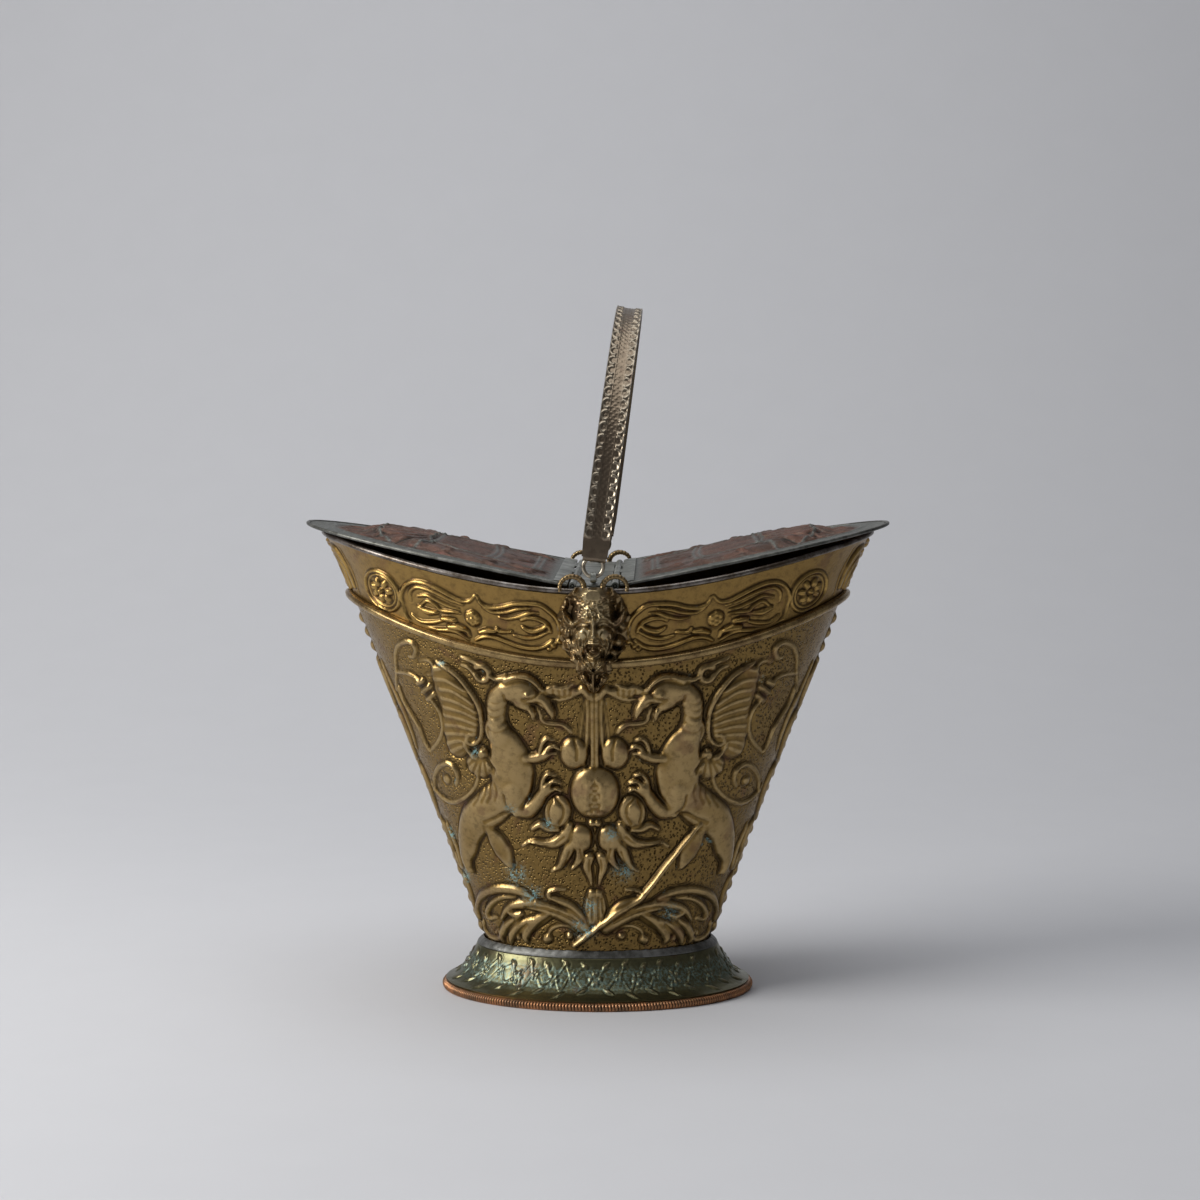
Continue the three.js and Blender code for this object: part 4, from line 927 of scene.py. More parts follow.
def draw_collar(relief):
    """The frieze: two eyes of curving strands, a rosette between, a flower, and lobes and husks at the ends."""
    wall, px = collar_wall.seen, 1 / PICTURE_SCALE
    for forms in (FRIEZE_LEFT, FRIEZE_RIGHT):
        for points, half, rise in forms.values():
            relief.swell(wall(points), np.asarray(half) * px, rise * 0.8)
    for points, half, rise in END_LOBES.values():
        line = collar_wall.at_share(points)
        relief.swell(line, half, rise * 0.5)
        relief.ridge(line, 1.1, -1.0)
    for up in np.arange(6, 46, HUSK_PITCH - 1.5):
        relief.bulb(collar_wall.at_share([(1.0, up)])[0], (6.4, 4.9), 3.3)
        relief.bulb(collar_wall.at_share([(0.955, up + 4)])[0], (4.2, 3.6), 2.4)
    centre, radius = ROSETTE
    centre, radius = wall([centre])[0], radius * px
    relief.bulb(centre, (radius, radius), 1.8)
    petals = np.radians(np.arange(6) * 60 + 30)
    for x, z in np.stack([np.cos(petals), np.sin(petals)], -1) * radius * 0.62 + centre:
        relief.bulb((x, z), (1.9, 1.9), 2.0, add=True)
        relief.bulb((x, z), (0.8, 0.8), -1.6, add=True)
    relief.bulb(centre, (1.6, 1.6), 1.8, add=True)
    centre, radii = FLOWER_OVAL
    x, z = wall([centre])[0]
    ring = np.radians(np.arange(0, 360, 20))
    oval = np.stack([np.cos(ring) * radii[0] * 1.28, np.sin(ring) * radii[1]], -1) * px
    relief.swell(oval + (x, z), 1.5, 2.4, close=True)
    relief.swell(oval * 0.8 + (x, z), 1.0, 1.6, close=True)
    for k in range(7):
        turn = math.radians(k * 360 / 7 + 12)
        place = np.array([math.cos(turn) * 1.2, math.sin(turn)]) * 6.4
        relief.bulb(place + (x, z), (4.4, 2.9), 3.2, math.degrees(turn))
        relief.ridge([place * 0.4 + (x, z), place * 1.35 + (x, z)], 0.9, -1.4)
    relief.bulb((x, z), (2.6, 2.6), 4.0)
    relief.chase(0.45, 1.0)


# ---------------------------------------------------------------- body and collar halves

def embossed_half(name, wall, side, draw, grid, coarse, top_margin, node, slot, material, edges):
    """Half of a band of the wall, its relief standing out along the wall's normal, as a closed sheet."""
    rows, cols = grid
    u = np.linspace(-1, 1, cols + 1)
    phi = QUARTER_TURN * (0.86 * u + 0.14 * u ** 3)
    t = np.linspace(0, top_margin, rows + 1)
    phi, t = np.meshgrid(phi, t)
    base = wall.point(phi, t)
    s, z = wall.drawing(phi, t)
    relief = Relief(-np.abs(s), z)
    draw(relief, s) if draw is draw_body else draw(relief)
    height = soften(relief.height)
    low, high = t * wall.tall if wall.tall else z - BASE_HEIGHT, (top_margin - t) * (wall.tall or BODY_TALL)
    height = height * smooth(edges[0], edges[0] + 2.5, low) * smooth(edges[1], edges[1] + 2.5, high)
    height = height * smooth(0.1, 0.8, (QUARTER_TURN - np.abs(phi)) * 60)
    height = np.maximum(height, -1.0)
    outer = base + normals(base) * height[..., None]
    outer[..., 1] = np.minimum(outer[..., 1], 0) - CLEARANCE / 2
    k_rows, k_cols = rows // coarse[0], cols // coarse[1]
    thick = SHEET * np.array([1.0, 1.0, 0.0])
    inner = (base - normals(base) * thick)[::k_rows, ::k_cols]
    inner[..., 1] = np.minimum(inner[..., 1], 0) - CLEARANCE / 2
    spots = np.zeros_like(s)
    if draw is draw_body:
        for centre, radius in VERDIGRIS_SPOTS:
            x, y = wall.seen([centre])[0]
            spots = np.maximum(spots, np.exp(-((s - x) ** 2 + (z - y) ** 2) / (radius / PICTURE_SCALE) ** 2))
    matted = smooth(0.6, 1.6, relief.gap) if draw is draw_body else 0.12 * smooth(0.6, 1.6, relief.gap)
    # raised lightens forms and crests (rubbed wear and painted highlight); hollow and the chased outlines darken
    # recesses (patina and painted shade)
    outline = np.exp(-(relief.gap / 0.9) ** 2)
    values = dict(raised=np.clip(height / 12 - 1.8 * hollow_of(height, 2), 0, 1),
                  hollow=np.clip(hollow_of(height) / 1.8 + 0.5 * outline, -1, 1), matted=matted, verdigris=spots)
    if side > 0:
        outer, inner = turned_round(outer), turned_round(inner)
    skin = Skin()
    open_shell(skin, outer, inner, **values)
    return skin.build(name, "root", [node], slot, material)


for face, side in (("front", -1), ("back", 1)):
    embossed_half(f"body_{face}_embossed", body_wall, side, draw_body, (216, 432), (27, 54),
                  1 - CLEARANCE / BODY_TALL, f"body_{face}", "embossed_brass", BODY_BRASS, (0.5, 3))
    embossed_half(f"collar_{face}_frieze", collar_wall, side, draw_collar, (84, 648), (12, 72),
                  1 - (ROLL_RADIUS + 2 * CLEARANCE) / COLLAR_TALL, f"collar_{face}", "embossed_brass", COLLAR_BRASS,
                  (RIB_TALL / 2 + 1, 1))

# ---------------------------------------------------------------- rib, rim, bottom plate and solder

def swept_round(curve_points, section):
    """A closed section of (out, up) carried round a closed curve of points: out is away from the middle."""
    out = curve_points * np.array([1.0, 1.0, 0.0])
    out /= np.linalg.norm(out, axis=-1, keepdims=True)
    section = np.asarray(section, float)
    points = curve_points[None] + section[:, :1, None] * out[None] + section[:, 1:, None] * np.array([0, 0, 1.0])
    skin = Skin()
    skin.grid(points, ring_rows=True, ring_cols=True)
    return skin


round_angles = np.linspace(0, 2 * math.pi, 20, endpoint=False)
ring_phi = np.linspace(-math.pi, math.pi, 560, endpoint=False)


def oval_line(oval, height):
    """The oval's line: (A sin phi, -B cos phi, height(phi)), once round."""
    return np.stack([oval[0] * np.sin(ring_phi), -oval[1] * np.cos(ring_phi), height(ring_phi)], -1)


flare = (RIM_OVAL[0] - RIB_OVAL[0]) / COLLAR_TALL
half_round = np.linspace(-QUARTER_TURN, QUARTER_TURN, 13)
rib_up = RIB_TALL / 2 * np.sin(half_round)
rib_out = CLEARANCE + np.maximum(0, rib_up * flare) + RIB_PROUD * np.cos(half_round)
rib_back = np.linspace(rib_up[-1], rib_up[0], 6)[1:-1]
rib_section = np.concatenate([np.stack([rib_out, rib_up], -1),
                              np.stack([CLEARANCE + np.maximum(0, rib_back * flare), rib_back], -1)])
swept_round(oval_line(RIB_OVAL, rib_height), rib_section).build(
    "rib_half_round", "root", ["rib_moulding"], "embossed_brass", RIB_BRASS, 50)

roll = np.stack([np.cos(round_angles), np.sin(round_angles)], -1) * ROLL_RADIUS
swept_round(oval_line(RIM_OVAL, rim_height), roll).build(
    "rim_wired_edge", "root", ["rim_roll"], "rim_grey", RIM_GREY)

plate = Skin()
rings = [plate.grid(ring_band([(0.0, BASE_HEIGHT - CLEARANCE / 2 - down)], 160, BASE_OVAL))[0]
         for down in (PLATE_THICK, 0.0)]
plate.join_rings(*rings)
plate.cap(rings[0][::-1])
plate.cap(rings[1])
plate.build("bottom_disc", "root", ["bottom_plate"], "embossed_brass", PLATE_BROWN, 40)

SOLDER_SECTION = [(0.12, 0), (0.5, 0), (0.97, 0), (0.94, 0.2), (0.85, 0.38), (0.72, 0.6), (0.58, 0.78), (0.47, 0.92),
                  (0.38, 1.0), (0.3, 0.85), (0.2, 0.45)]
solder_phi = np.linspace(0, 2 * math.pi, 520, endpoint=False)
share, up = np.asarray(SOLDER_SECTION).T[:, :, None]
lumpy = 0.55 * np.sin(solder_phi * 31) * np.sin(solder_phi * 17 + 1) + 0.2 * np.sin(solder_phi * 73 + 2)
share = share + 0.04 * lumpy * up
solder_a = mix(BASE_OVAL[0], FOOT_OVAL[0], share)
solder_b = mix(BASE_OVAL[1], FOOT_OVAL[1], share)
solder_z = FOOT_HEIGHT + CLEARANCE + SOLDER_TALL * up * (1 + 0.07 * lumpy)
solder = Skin()
solder.grid(np.stack([solder_a * np.cos(solder_phi), solder_b * np.sin(solder_phi), solder_z + 0 * solder_phi], -1),
            ring_rows=True, ring_cols=True)
solder.build("solder_seam", "root", ["foot_solder"], "solder", SOLDER, 50)


# ---------------------------------------------------------------- the foot

FOOT_PROFILE = [(0, 0), (0.05, 0.10), (0.14, 0.24), (0.24, 0.38), (0.34, 0.52), (0.42, 0.64), (0.5, 0.74),
                (0.62, 0.83), (0.76, 0.90), (0.94, 0.96)]
DAISIES = [(0, 13, 5.2), (17, 11.5, 3.6), (31, 14, 4.6), (46, 12, 3.4), (60, 14.5, 5.0), (76, 12, 3.6), (92, 14, 4.4),
           (108, 12, 3.4), (124, 13.5, 4.8), (140, 12, 3.4), (152, 14, 4.2)]


def draw_foot(relief):
    """A band of five-petalled flowers, ringed buds and leaves round the skirt, pressed up and outlined."""
    for place, height, radius in DAISIES:
        for k in range(5):
            turn = math.radians(k * 72 + place * 3)
            petal = (place + math.cos(turn) * radius * 0.62, height + math.sin(turn) * radius * 0.62)
            relief.bulb(petal, (radius * 0.42, radius * 0.3), 1.25, math.degrees(turn))
            relief.ridge([(place, height), petal], 0.5, -0.5)
        relief.bulb((place, height), (radius * 0.27,) * 2, 1.6)
        relief.bulb((place, height), (radius * 0.12,) * 2, -0.8, add=True)
    for (a, ha, _), (b, hb, _) in zip(DAISIES[:-1], DAISIES[1:]):
        middle = (a + b) / 2
        relief.swell([(a + 3, ha + 1), (middle, hb + 7), (b - 3, hb + 2)], [0.5, 0.9, 0.5], 0.9)
        relief.swell([(a + 3, ha - 2), (middle, ha - 7), (b - 3, hb - 3)], [0.5, 0.9, 0.5], 0.9)
        for leaf, lean in ((hb + 8, 3.2), (ha - 7, -3.2)):
            relief.swell([(middle - 3, leaf), (middle, leaf + lean * 0.5), (middle + 3.4, leaf + lean)],
                         [0.5, 1.5, 0.4], 1.1)
    relief.chase(0.35, 0.8)


FOOT_ROWS = 45
foot_phi = np.linspace(0, 2 * math.pi, 1152, endpoint=False)
foot_level = np.linspace(0, len(FOOT_PROFILE) - 1, FOOT_ROWS)
across = np.interp(foot_level, np.arange(len(FOOT_PROFILE)), [p[0] for p in FOOT_PROFILE])
down = np.interp(foot_level, np.arange(len(FOOT_PROFILE)), [p[1] for p in FOOT_PROFILE])
skirt = ring_band(np.stack([across * FOOT_SPREAD, FOOT_HEIGHT - down * (FOOT_HEIGHT - FOOT_EDGE_TALL - CLEARANCE)],
                           -1), len(foot_phi))
quarter = np.arctan2(np.abs(skirt[..., 0]) / FOOT_OVAL[0], np.abs(skirt[..., 1]) / FOOT_OVAL[1])
length = 103 * spread(quarter) / spread(QUARTER_TURN) * 1.3
foot_relief = Relief(length, FOOT_HEIGHT - skirt[..., 2])
draw_foot(foot_relief)
foot_rows = np.arange(FOOT_ROWS)[:, None]
foot_edge_fade = smooth(0, 3, foot_rows) * smooth(0, 4, FOOT_ROWS - 1 - foot_rows)
foot_height = soften(foot_relief.height) * foot_edge_fade
skirt_out = skirt - normals(skirt) * foot_height[..., None]
skirt_in = skirt + normals(skirt) * FOOT_THICK
foot = Skin()
below_top = FOOT_HEIGHT - skirt[..., 2]
foot_patches = 0.3 * smooth(4, 9, below_top) * (1 - smooth(18, 24, below_top))
flange = ring_band([(-FOOT_FLANGE, FOOT_HEIGHT - FOOT_THICK), (-FOOT_FLANGE, FOOT_HEIGHT)], len(foot_phi))
# raised lightens the chased flowers (rubbed wear and painted highlight); hollow darkens their recesses (patina and
# painted shade)
outer_ids = foot.grid(skirt_out, ring_cols=True, raised=np.clip(foot_height / 1.6, 0, 1),
                      hollow=np.clip(hollow_of(foot_height, 2) / 0.5, -1, 1), verdigris=foot_patches)
inner_ids = foot.grid(skirt_in[::-1][::4], ring_cols=True)
flange_ids = foot.grid(flange, ring_cols=True)
for upper, lower in ((outer_ids[-1], inner_ids[0]), (inner_ids[-1], flange_ids[0]), (flange_ids[1], outer_ids[0])):
    foot.join_rings(upper, lower)
foot.build("foot_chased_skirt", "root", ["foot_skirt"], "foot_bronze", FOOT_BRONZE)

EDGE_SECTION = [(-0.9, -1), (0.3, -1), (0.62, -0.85), (0.85, -0.5), (0.97, 0), (0.88, 0.45), (0.62, 0.8), (0.2, 1),
                (-0.4, 1), (-0.9, 1)]
BEAD_COUNT = 300
edge_phi = np.linspace(0, 2 * math.pi, BEAD_COUNT * 6, endpoint=False)
edge_out, edge_up = np.asarray(EDGE_SECTION).T[:, :, None]
notch = 1 - np.abs(np.sin(edge_phi * BEAD_COUNT / 2)) ** 0.7
notch = notch * smooth(0.2, 0.6, edge_out) * smooth(-0.95, -0.6, edge_up)
edge_out = FOOT_SPREAD + FOOT_EDGE_TALL / 2 * (edge_out - 0.5) - 0.8 * notch
edge_z = FOOT_EDGE_TALL / 2 * (edge_up + 1) - 0.4 * notch * (edge_up > 0)
edge = Skin()
# the notches carry the hollow value, which tarnished() darkens as tarnish and painted shade
edge.grid(np.stack([(FOOT_OVAL[0] + edge_out) * np.cos(edge_phi), (FOOT_OVAL[1] + edge_out) * np.sin(edge_phi),
                    edge_z], -1), ring_rows=True, ring_cols=True, hollow=notch * 0.9)
edge.build("foot_milled_edge", "root", ["foot_edge"], "foot_copper", FOOT_COPPER, 50)


# ---------------------------------------------------------------- hinge bar, pins, lugs and rings

def box_points(low, high):
    """The four upright edges of a box as a 2 x 4 grid: bottom ring, then top ring."""
    (x0, y0, z0), (x1, y1, z1) = low, high
    corners = np.array([(x0, y0), (x1, y0), (x1, y1), (x0, y1)])
    return np.stack([np.column_stack([corners, np.full(4, z)]) for z in (z0, z1)])


def add_box(skin, points):
    ids = skin.grid(points, ring_cols=True)
    skin.cap(ids[0][::-1])
    skin.cap(ids[1])


def add_tube(skin, line, radius, sides=16, squash=1.0):
    """A round bar along a curve of points, its frame held near the vertical."""
    line = np.asarray(line, float)
    run = np.gradient(line, axis=0)
    run /= np.linalg.norm(run, axis=-1, keepdims=True)
    side = np.cross(run, np.array([0.0, 0.31, 0.95]))
    side /= np.linalg.norm(side, axis=-1, keepdims=True)
    over = np.cross(side, run)
    turn = np.linspace(0, 2 * math.pi, sides, endpoint=False)
    radius = np.broadcast_to(radius, len(line))[None, :, None]
    points = line[None] + radius * (np.cos(turn)[:, None, None] * side[None]
                                    + squash * np.sin(turn)[:, None, None] * over[None])
    ids = skin.grid(points, ring_rows=True, flip=True)
    skin.cap(ids[:, 0])
    skin.cap(ids[::-1, -1])


def knuckle(skin, x, y0, y1):
    """A rolled knuckle round the pin at x: a pierced barrel from y0 to y1."""
    around = np.linspace(0, 2 * math.pi, 24, endpoint=False)
    y = np.linspace(y0, y1, 5)[:, None] + 0 * around
    ring = lambda r: np.stack([x + r * np.cos(around) + 0 * y, y, HINGE_HEIGHT + r * np.sin(around) + 0 * y], -1)
    skin.pierced(ring(KNUCKLE_RADIUS), ring(PIN_RADIUS + PIN_PLAY), flip=True)


PITCH = 2 * (LID_OVAL[1] - 2) / KNUCKLE_COUNT


def knuckle_spans(first):
    """Where every second knuckle along the pin starts and stops."""
    start = -(LID_OVAL[1] - 2) + PITCH * np.arange(first, KNUCKLE_COUNT, 2)
    return [(y + KNUCKLE_GAP / 2, y + PITCH - KNUCKLE_GAP / 2) for y in start]


bar = Skin()
bar_half = HINGE_OFFSET - KNUCKLE_RADIUS - 0.6
bar_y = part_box("hinge_bar")[1].y / MM
bar_z = HINGE_HEIGHT - BAR_DROP
bx, by = np.meshgrid(np.linspace(-bar_half, bar_half, 13), np.linspace(-bar_y, bar_y, 120))
top = bar_z + BAR_THICK + 0.25 * np.cos(bx / bar_half * QUARTER_TURN) + 0.12 * np.sin(by * 0.21) * np.cos(bx * 0.3)
open_shell(bar, np.stack([bx, by, top], -1), np.stack([bx, by, 0 * top + bar_z], -1)[::7, ::4])
for sign in (-1, 1):
    for y0, y1 in knuckle_spans(0):
        knuckle(bar, sign * HINGE_OFFSET, y0, y1)
        web = sorted((sign * bar_half, sign * (bar_half + WEB_REACH)))
        add_box(bar, box_points((web[0], y0, HINGE_HEIGHT - 1.2), (web[1], y1, HINGE_HEIGHT + 0.4)))
bar.build("hinge_middle_bar", "root", ["hinge_bar"], "hinge_grey", HINGE_GREY, 35)

for name, sign in (("left", -1), ("right", 1)):
    low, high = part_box(f"hinge_pin_{name}")
    pin = Skin()
    pin_line = [(sign * HINGE_OFFSET, y, HINGE_HEIGHT) for y in np.linspace(low.y / MM, high.y / MM, 12)]
    add_tube(pin, pin_line, [PIN_RADIUS * 0.6] + [PIN_RADIUS] * 10 + [PIN_RADIUS * 0.6])
    pin.build(f"hinge_wire_{name}", "root", [f"hinge_pin_{name}"], "hinge_grey", HINGE_GREY)


def lug(side):
    """An upright eye on an arm that lies back over the hinge bar."""
    skin = Skin()
    eye_z = RING_HEIGHT - RING_RADIUS
    around = np.linspace(0, 2 * math.pi, 32, endpoint=False)
    half = LUG_THICK / 2
    widths = np.array([-half, -half * 0.92, half * 0.92, half])
    radii = np.array([LUG_RADIUS - 0.4, LUG_RADIUS, LUG_RADIUS, LUG_RADIUS - 0.4])
    bores = np.array([LUG_HOLE + 0.4, LUG_HOLE, LUG_HOLE, LUG_HOLE + 0.4])
    ring = lambda r: np.stack([widths[:, None] + 0 * around, RING_DISTANCE + r[:, None] * np.cos(around),
                               eye_z + r[:, None] * np.sin(around)], -1)
    skin.pierced(ring(radii), ring(bores))
    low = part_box("ring_lug_back")[0] / MM
    arm = curve_through([(low.y, low.z + 2.2), (low.y + 8, low.z + 2.4), (RING_DISTANCE - 9, low.z + 3.2),
                         (RING_DISTANCE - 3.2, eye_z + 0.6)], 16)
    add_tube(skin, np.column_stack([np.zeros(16), arm]), np.linspace(2.3, 2.0, 16), 12, squash=0.85)
    skin.points = [p * np.array([1.0, side, 1.0]) for p in skin.points]
    skin.faces = [f[:, ::side] for f in skin.faces]
    return skin


for name, side in (("front", -1), ("back", 1)):
    lug(side).build(f"ring_eye_{name}", "root", [f"ring_lug_{name}"], "hinge_grey", HINGE_GREY, 40)
    turn = np.linspace(0, 2 * math.pi, 72, endpoint=False)
    round_wire = np.linspace(0, 2 * math.pi, 16, endpoint=False)[:, None]
    reach = RING_RADIUS + 0.05 * np.sin(turn * 5) + RING_WIRE * np.cos(round_wire)
    hoop = Skin()
    hoop.grid(np.stack([reach * np.cos(turn), side * RING_DISTANCE + RING_WIRE * np.sin(round_wire) + 0 * turn,
                        RING_HEIGHT + reach * np.sin(turn)], -1), ring_rows=True, ring_cols=True)
    hoop.build(f"handle_hoop_{name}", "handle", [f"handle_ring_{name}"], "handle_bronze", RING_BRONZE)


# ---------------------------------------------------------------- lids

LID_SLOPE = math.atan2(LID_RISE, LID_OVAL[0] - HINGE_OFFSET)


def on_lid(local, side):
    """Turns lid places (from the pin, across, up from the plate) into the scuttle's own, right lid or left."""
    x, y, z = np.moveaxis(local, -1, 0)
    out = HINGE_OFFSET + x * math.cos(LID_SLOPE) - z * math.sin(LID_SLOPE)
    up = HINGE_HEIGHT + x * math.sin(LID_SLOPE) + z * math.cos(LID_SLOPE)
    return np.stack([side * out, side * y, up], -1)


LID_FORMS = {
    "hump_rib_1": ([(112, -4), (124, -8), (138, -10), (148, -4)], [3, 7, 7, 3], 3.6),
    "hump_rib_2": ([(112, -14), (124, -24), (138, -30), (149, -26)], [3, 6.5, 6.5, 3], 3.8),
    "hump_rib_3": ([(112, -26), (122, -40), (134, -50), (146, -48)], [3, 6, 6, 2.6], 3.4),
    "hump_rib_4": ([(110, -38), (117, -54), (127, -66), (138, -66)], [3, 5.6, 5.2, 2.4], 3.0),
    "tip_leaf_1": ([(152, 0), (162, -3), (174, -3), (182, 0)], [3, 6, 5, 1.6], 2.6),
    "tip_leaf_2": ([(150, -12), (160, -20), (171, -22), (178, -16)], [2.4, 5, 4.4, 1.6], 2.6),
    "tip_leaf_3": ([(148, -34), (158, -40), (166, -38)], [2.4, 4.4, 2], 2.4),
    "edge_leaf_1": ([(30, -88), (42, -94), (56, -92), (66, -84)], [2, 4.6, 4.6, 1.6], 2.6),
    "edge_leaf_2": ([(58, -80), (72, -88), (88, -86), (98, -76)], [2, 5, 5, 1.6], 2.8),
    "edge_leaf_3": ([(90, -70), (104, -80), (118, -76), (124, -68)], [2, 5, 4.6, 1.6], 2.6),
    "edge_scroll": ([(22, -74), (34, -80), (46, -76), (50, -68), (44, -64), (39, -68)],
                    [1.6, 2.4, 2.8, 2.4, 2, 1.4], 2.8),
    "mound": ([(38, -8), (46, -12), (53, -6)], [6, 8, 5], 3.0),
}
LID_BANDS = [
    [(20, -58), (31, -60), (58, -62), (86, -58), (106, -46)],
    [(31, 0), (31, -30), (31, -60)], [(27, 0), (27, -30), (27, -58)],
    [(58, 0), (59, -30), (61, -61)], [(62.5, 0), (63.5, -30), (66, -60)],
    [(106, 0), (106, -24), (106, -46)], [(110, 0), (111, -22), (108, -50)],
    [(106, -46), (116, -62), (120, -78)], [(148, 0), (150, -22), (144, -44), (134, -62)],
]
LID_VEINS = [[(112, -8), (126, -12), (142, -14)], [(112, -19), (124, -31), (140, -38)], [(112, -31), (120, -46),
             (134, -58)], [(155, -2), (176, -3)], [(154, -15), (172, -21)], [(34, -90), (60, -90)],
             [(62, -83), (92, -84)], [(94, -74), (118, -75)], [(152, -36), (164, -40)]]


def draw_lid(relief):
    """Ribs, leaves, panels of bricks and of crossed lines, bands between them, and scaly unevenness over all."""
    for points, half, rise in LID_FORMS.values():
        relief.swell(points, half, rise * 0.65)
    for points in LID_VEINS:
        relief.ridge(points, 1.4, -0.9)
    x, y = relief.across, relief.up
    panel = smooth(64, 67, x) * (1 - smooth(102, 105, x)) * smooth(-57, -54, y)
    course = np.floor(y / 3.6)
    bricks = np.abs(np.sin(math.pi * y / 3.6)) ** 0.5 * np.abs(np.sin(math.pi * (x / 6.4 + 0.5 * (course % 2)))) ** 0.4
    relief.height += panel * 0.9 * bricks
    inner = smooth(33, 36, x) * (1 - smooth(54, 57, x)) * smooth(-57, -54, y)
    relief.height += inner * 0.7 * np.abs(np.sin(math.pi * (x + y) / 4.2)) * np.abs(np.sin(math.pi * (x - y) / 4.2))
    for points in LID_BANDS:
        relief.ridge(points, 1.9, 1.2)
    scales = np.random.default_rng(5).normal(size=x.shape)
    relief.height += 0.45 * soften(scales, 2)


def lid(name, side):
    """A lid's plate, crowned from its hinge to its tip, the wired edge round it, and its hinge leaf."""
    inset = LID_EDGE_RADIUS + 2 * CLEARANCE + 0.3
    cos = math.cos(LID_SLOPE)
    first = math.asin((HINGE_OFFSET + (LID_START + 0.2) * cos) / (LID_OVAL[0] - inset))
    cols, rows = ((256, 320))
    theta, v = np.meshgrid(np.linspace(first, math.radians(89), cols + 1), np.linspace(-1, 1, rows + 1))
    x = ((LID_OVAL[0] - inset) * np.sin(theta) - HINGE_OFFSET) / cos
    y = (LID_OVAL[1] - inset) * np.cos(theta) * v
    rho = np.hypot((HINGE_OFFSET + x * cos) / LID_OVAL[0], y / LID_OVAL[1])
    relief = Relief(x, -np.abs(y))
    draw_lid(relief)
    inside = np.hypot((HINGE_OFFSET + x * cos) / (LID_OVAL[0] - LID_MARGIN), y / (LID_OVAL[1] - LID_MARGIN))
    field = (1 - smooth(0.76, 0.84, rho)) * (0.25 * smooth(15.5, 30, x) + 0.75 * smooth(30, 112, x))
    crown = LID_CROWN * field
    rest = soften(relief.height) * (1 - smooth(0.95, 0.99, inside)) * smooth(15.5, 20, x)
    line = 0.8 * np.exp(-((inside - 1) / 0.01) ** 2) * smooth(15.5, 20, x)
    dents = 0.35 * np.sin(x * 0.07 + y * 0.05) * np.sin(y * 0.06 - 1) * (1 - smooth(0.93, 0.99, rho))
    z = 0.6 + crown + rest + line + np.where(x > 16, dents * smooth(16, 30, x), 0)
    grey = np.maximum(smooth(0.97, 1.0, inside), 1 - smooth(15, 24, x))
    bands = Relief(x, -np.abs(y))
    for points in LID_BANDS:
        bands.ridge(points, 1.9, 0.8)
    grey = np.clip(np.maximum(grey, bands.height * 1.3), 0, 1)
    outer = on_lid(np.stack([x, y, z], -1), side)
    inner = on_lid(np.stack([x, y, 0.85 * crown - SHEET / 2], -1), side)[::8, ::8]
    skin = Skin()
    # hollow darkens the lid's recesses and panel line (patina and painted shade); raised places the rubbed gold patches
    open_shell(skin, outer, inner, raised=np.clip(rest / 3.5, 0, 1), hollow=np.clip(hollow_of(rest + line, 3), -1, 1),
               grey=grey)
    skin.build(f"{name}_embossed", name, [f"{name}_plate"], "lid_copper", LID_COPPER, 60)

    start = math.asin((HINGE_OFFSET + LID_START * cos) / LID_OVAL[0])
    theta = np.linspace(start, math.pi - start, 260)
    path = np.stack([(LID_OVAL[0] * np.sin(theta) - HINGE_OFFSET) / cos, LID_OVAL[1] * np.cos(theta), 0 * theta], -1)
    wire = Skin()
    add_tube(wire, on_lid(path, side), LID_EDGE_RADIUS, 14)
    wire.build(f"{name}_wired_edge", name, [f"{name}_edge"], "hinge_grey", LID_GREY)

    leaf = Skin()
    half = LID_OVAL[1] - LEAF_INSET
    lx, ly = np.meshgrid(np.linspace(LID_START, LID_START + LEAF_WIDTH, 11), np.linspace(-half, half, 161))
    waves = 0.1 * np.sin(ly * 0.3) * np.sin(lx * 0.6)
    lift = LEAF_LIFT + LEAF_THICK - 0.25 * np.abs(np.linspace(-1, 1, 11)) ** 6 + waves
    open_shell(leaf, on_lid(np.stack([lx, ly, lift], -1), side),
               on_lid(np.stack([lx, ly, 0 * lx + LEAF_LIFT], -1), side)[::8, ::5])
    for y0, y1 in knuckle_spans(1):
        knuckle(leaf, side * HINGE_OFFSET, y0, y1)
        add_box(leaf, on_lid(box_points((PIN_RADIUS + 1.0, y0, 0.6), (LID_START + 0.6, y1, 1.9)), side))
    leaf.build(f"{name}_hinge_leaf", name, [f"{name}_leaf"], "hinge_grey", HINGE_GREY, 35)


lid("lid_right", 1)
lid("lid_left", -1)


# ---------------------------------------------------------------- handle

SCALLOP_PITCH = 9.4
HANDLE_LOW = 6.6
HANDLE_HIGH = 183.22
STRAP_REACH = 137.4
EYE_RADIUS = 3.5


def lean(points):
    """From the upright handle about its pivot to the handle leaning in its rings."""
    turn = math.radians(HANDLE_LEAN)
    x, y, z = np.moveaxis(points, -1, 0)
    return np.stack([x * math.cos(turn) + z * math.sin(turn), y, RING_HEIGHT - x * math.sin(turn)
                     + z * math.cos(turn)], -1)


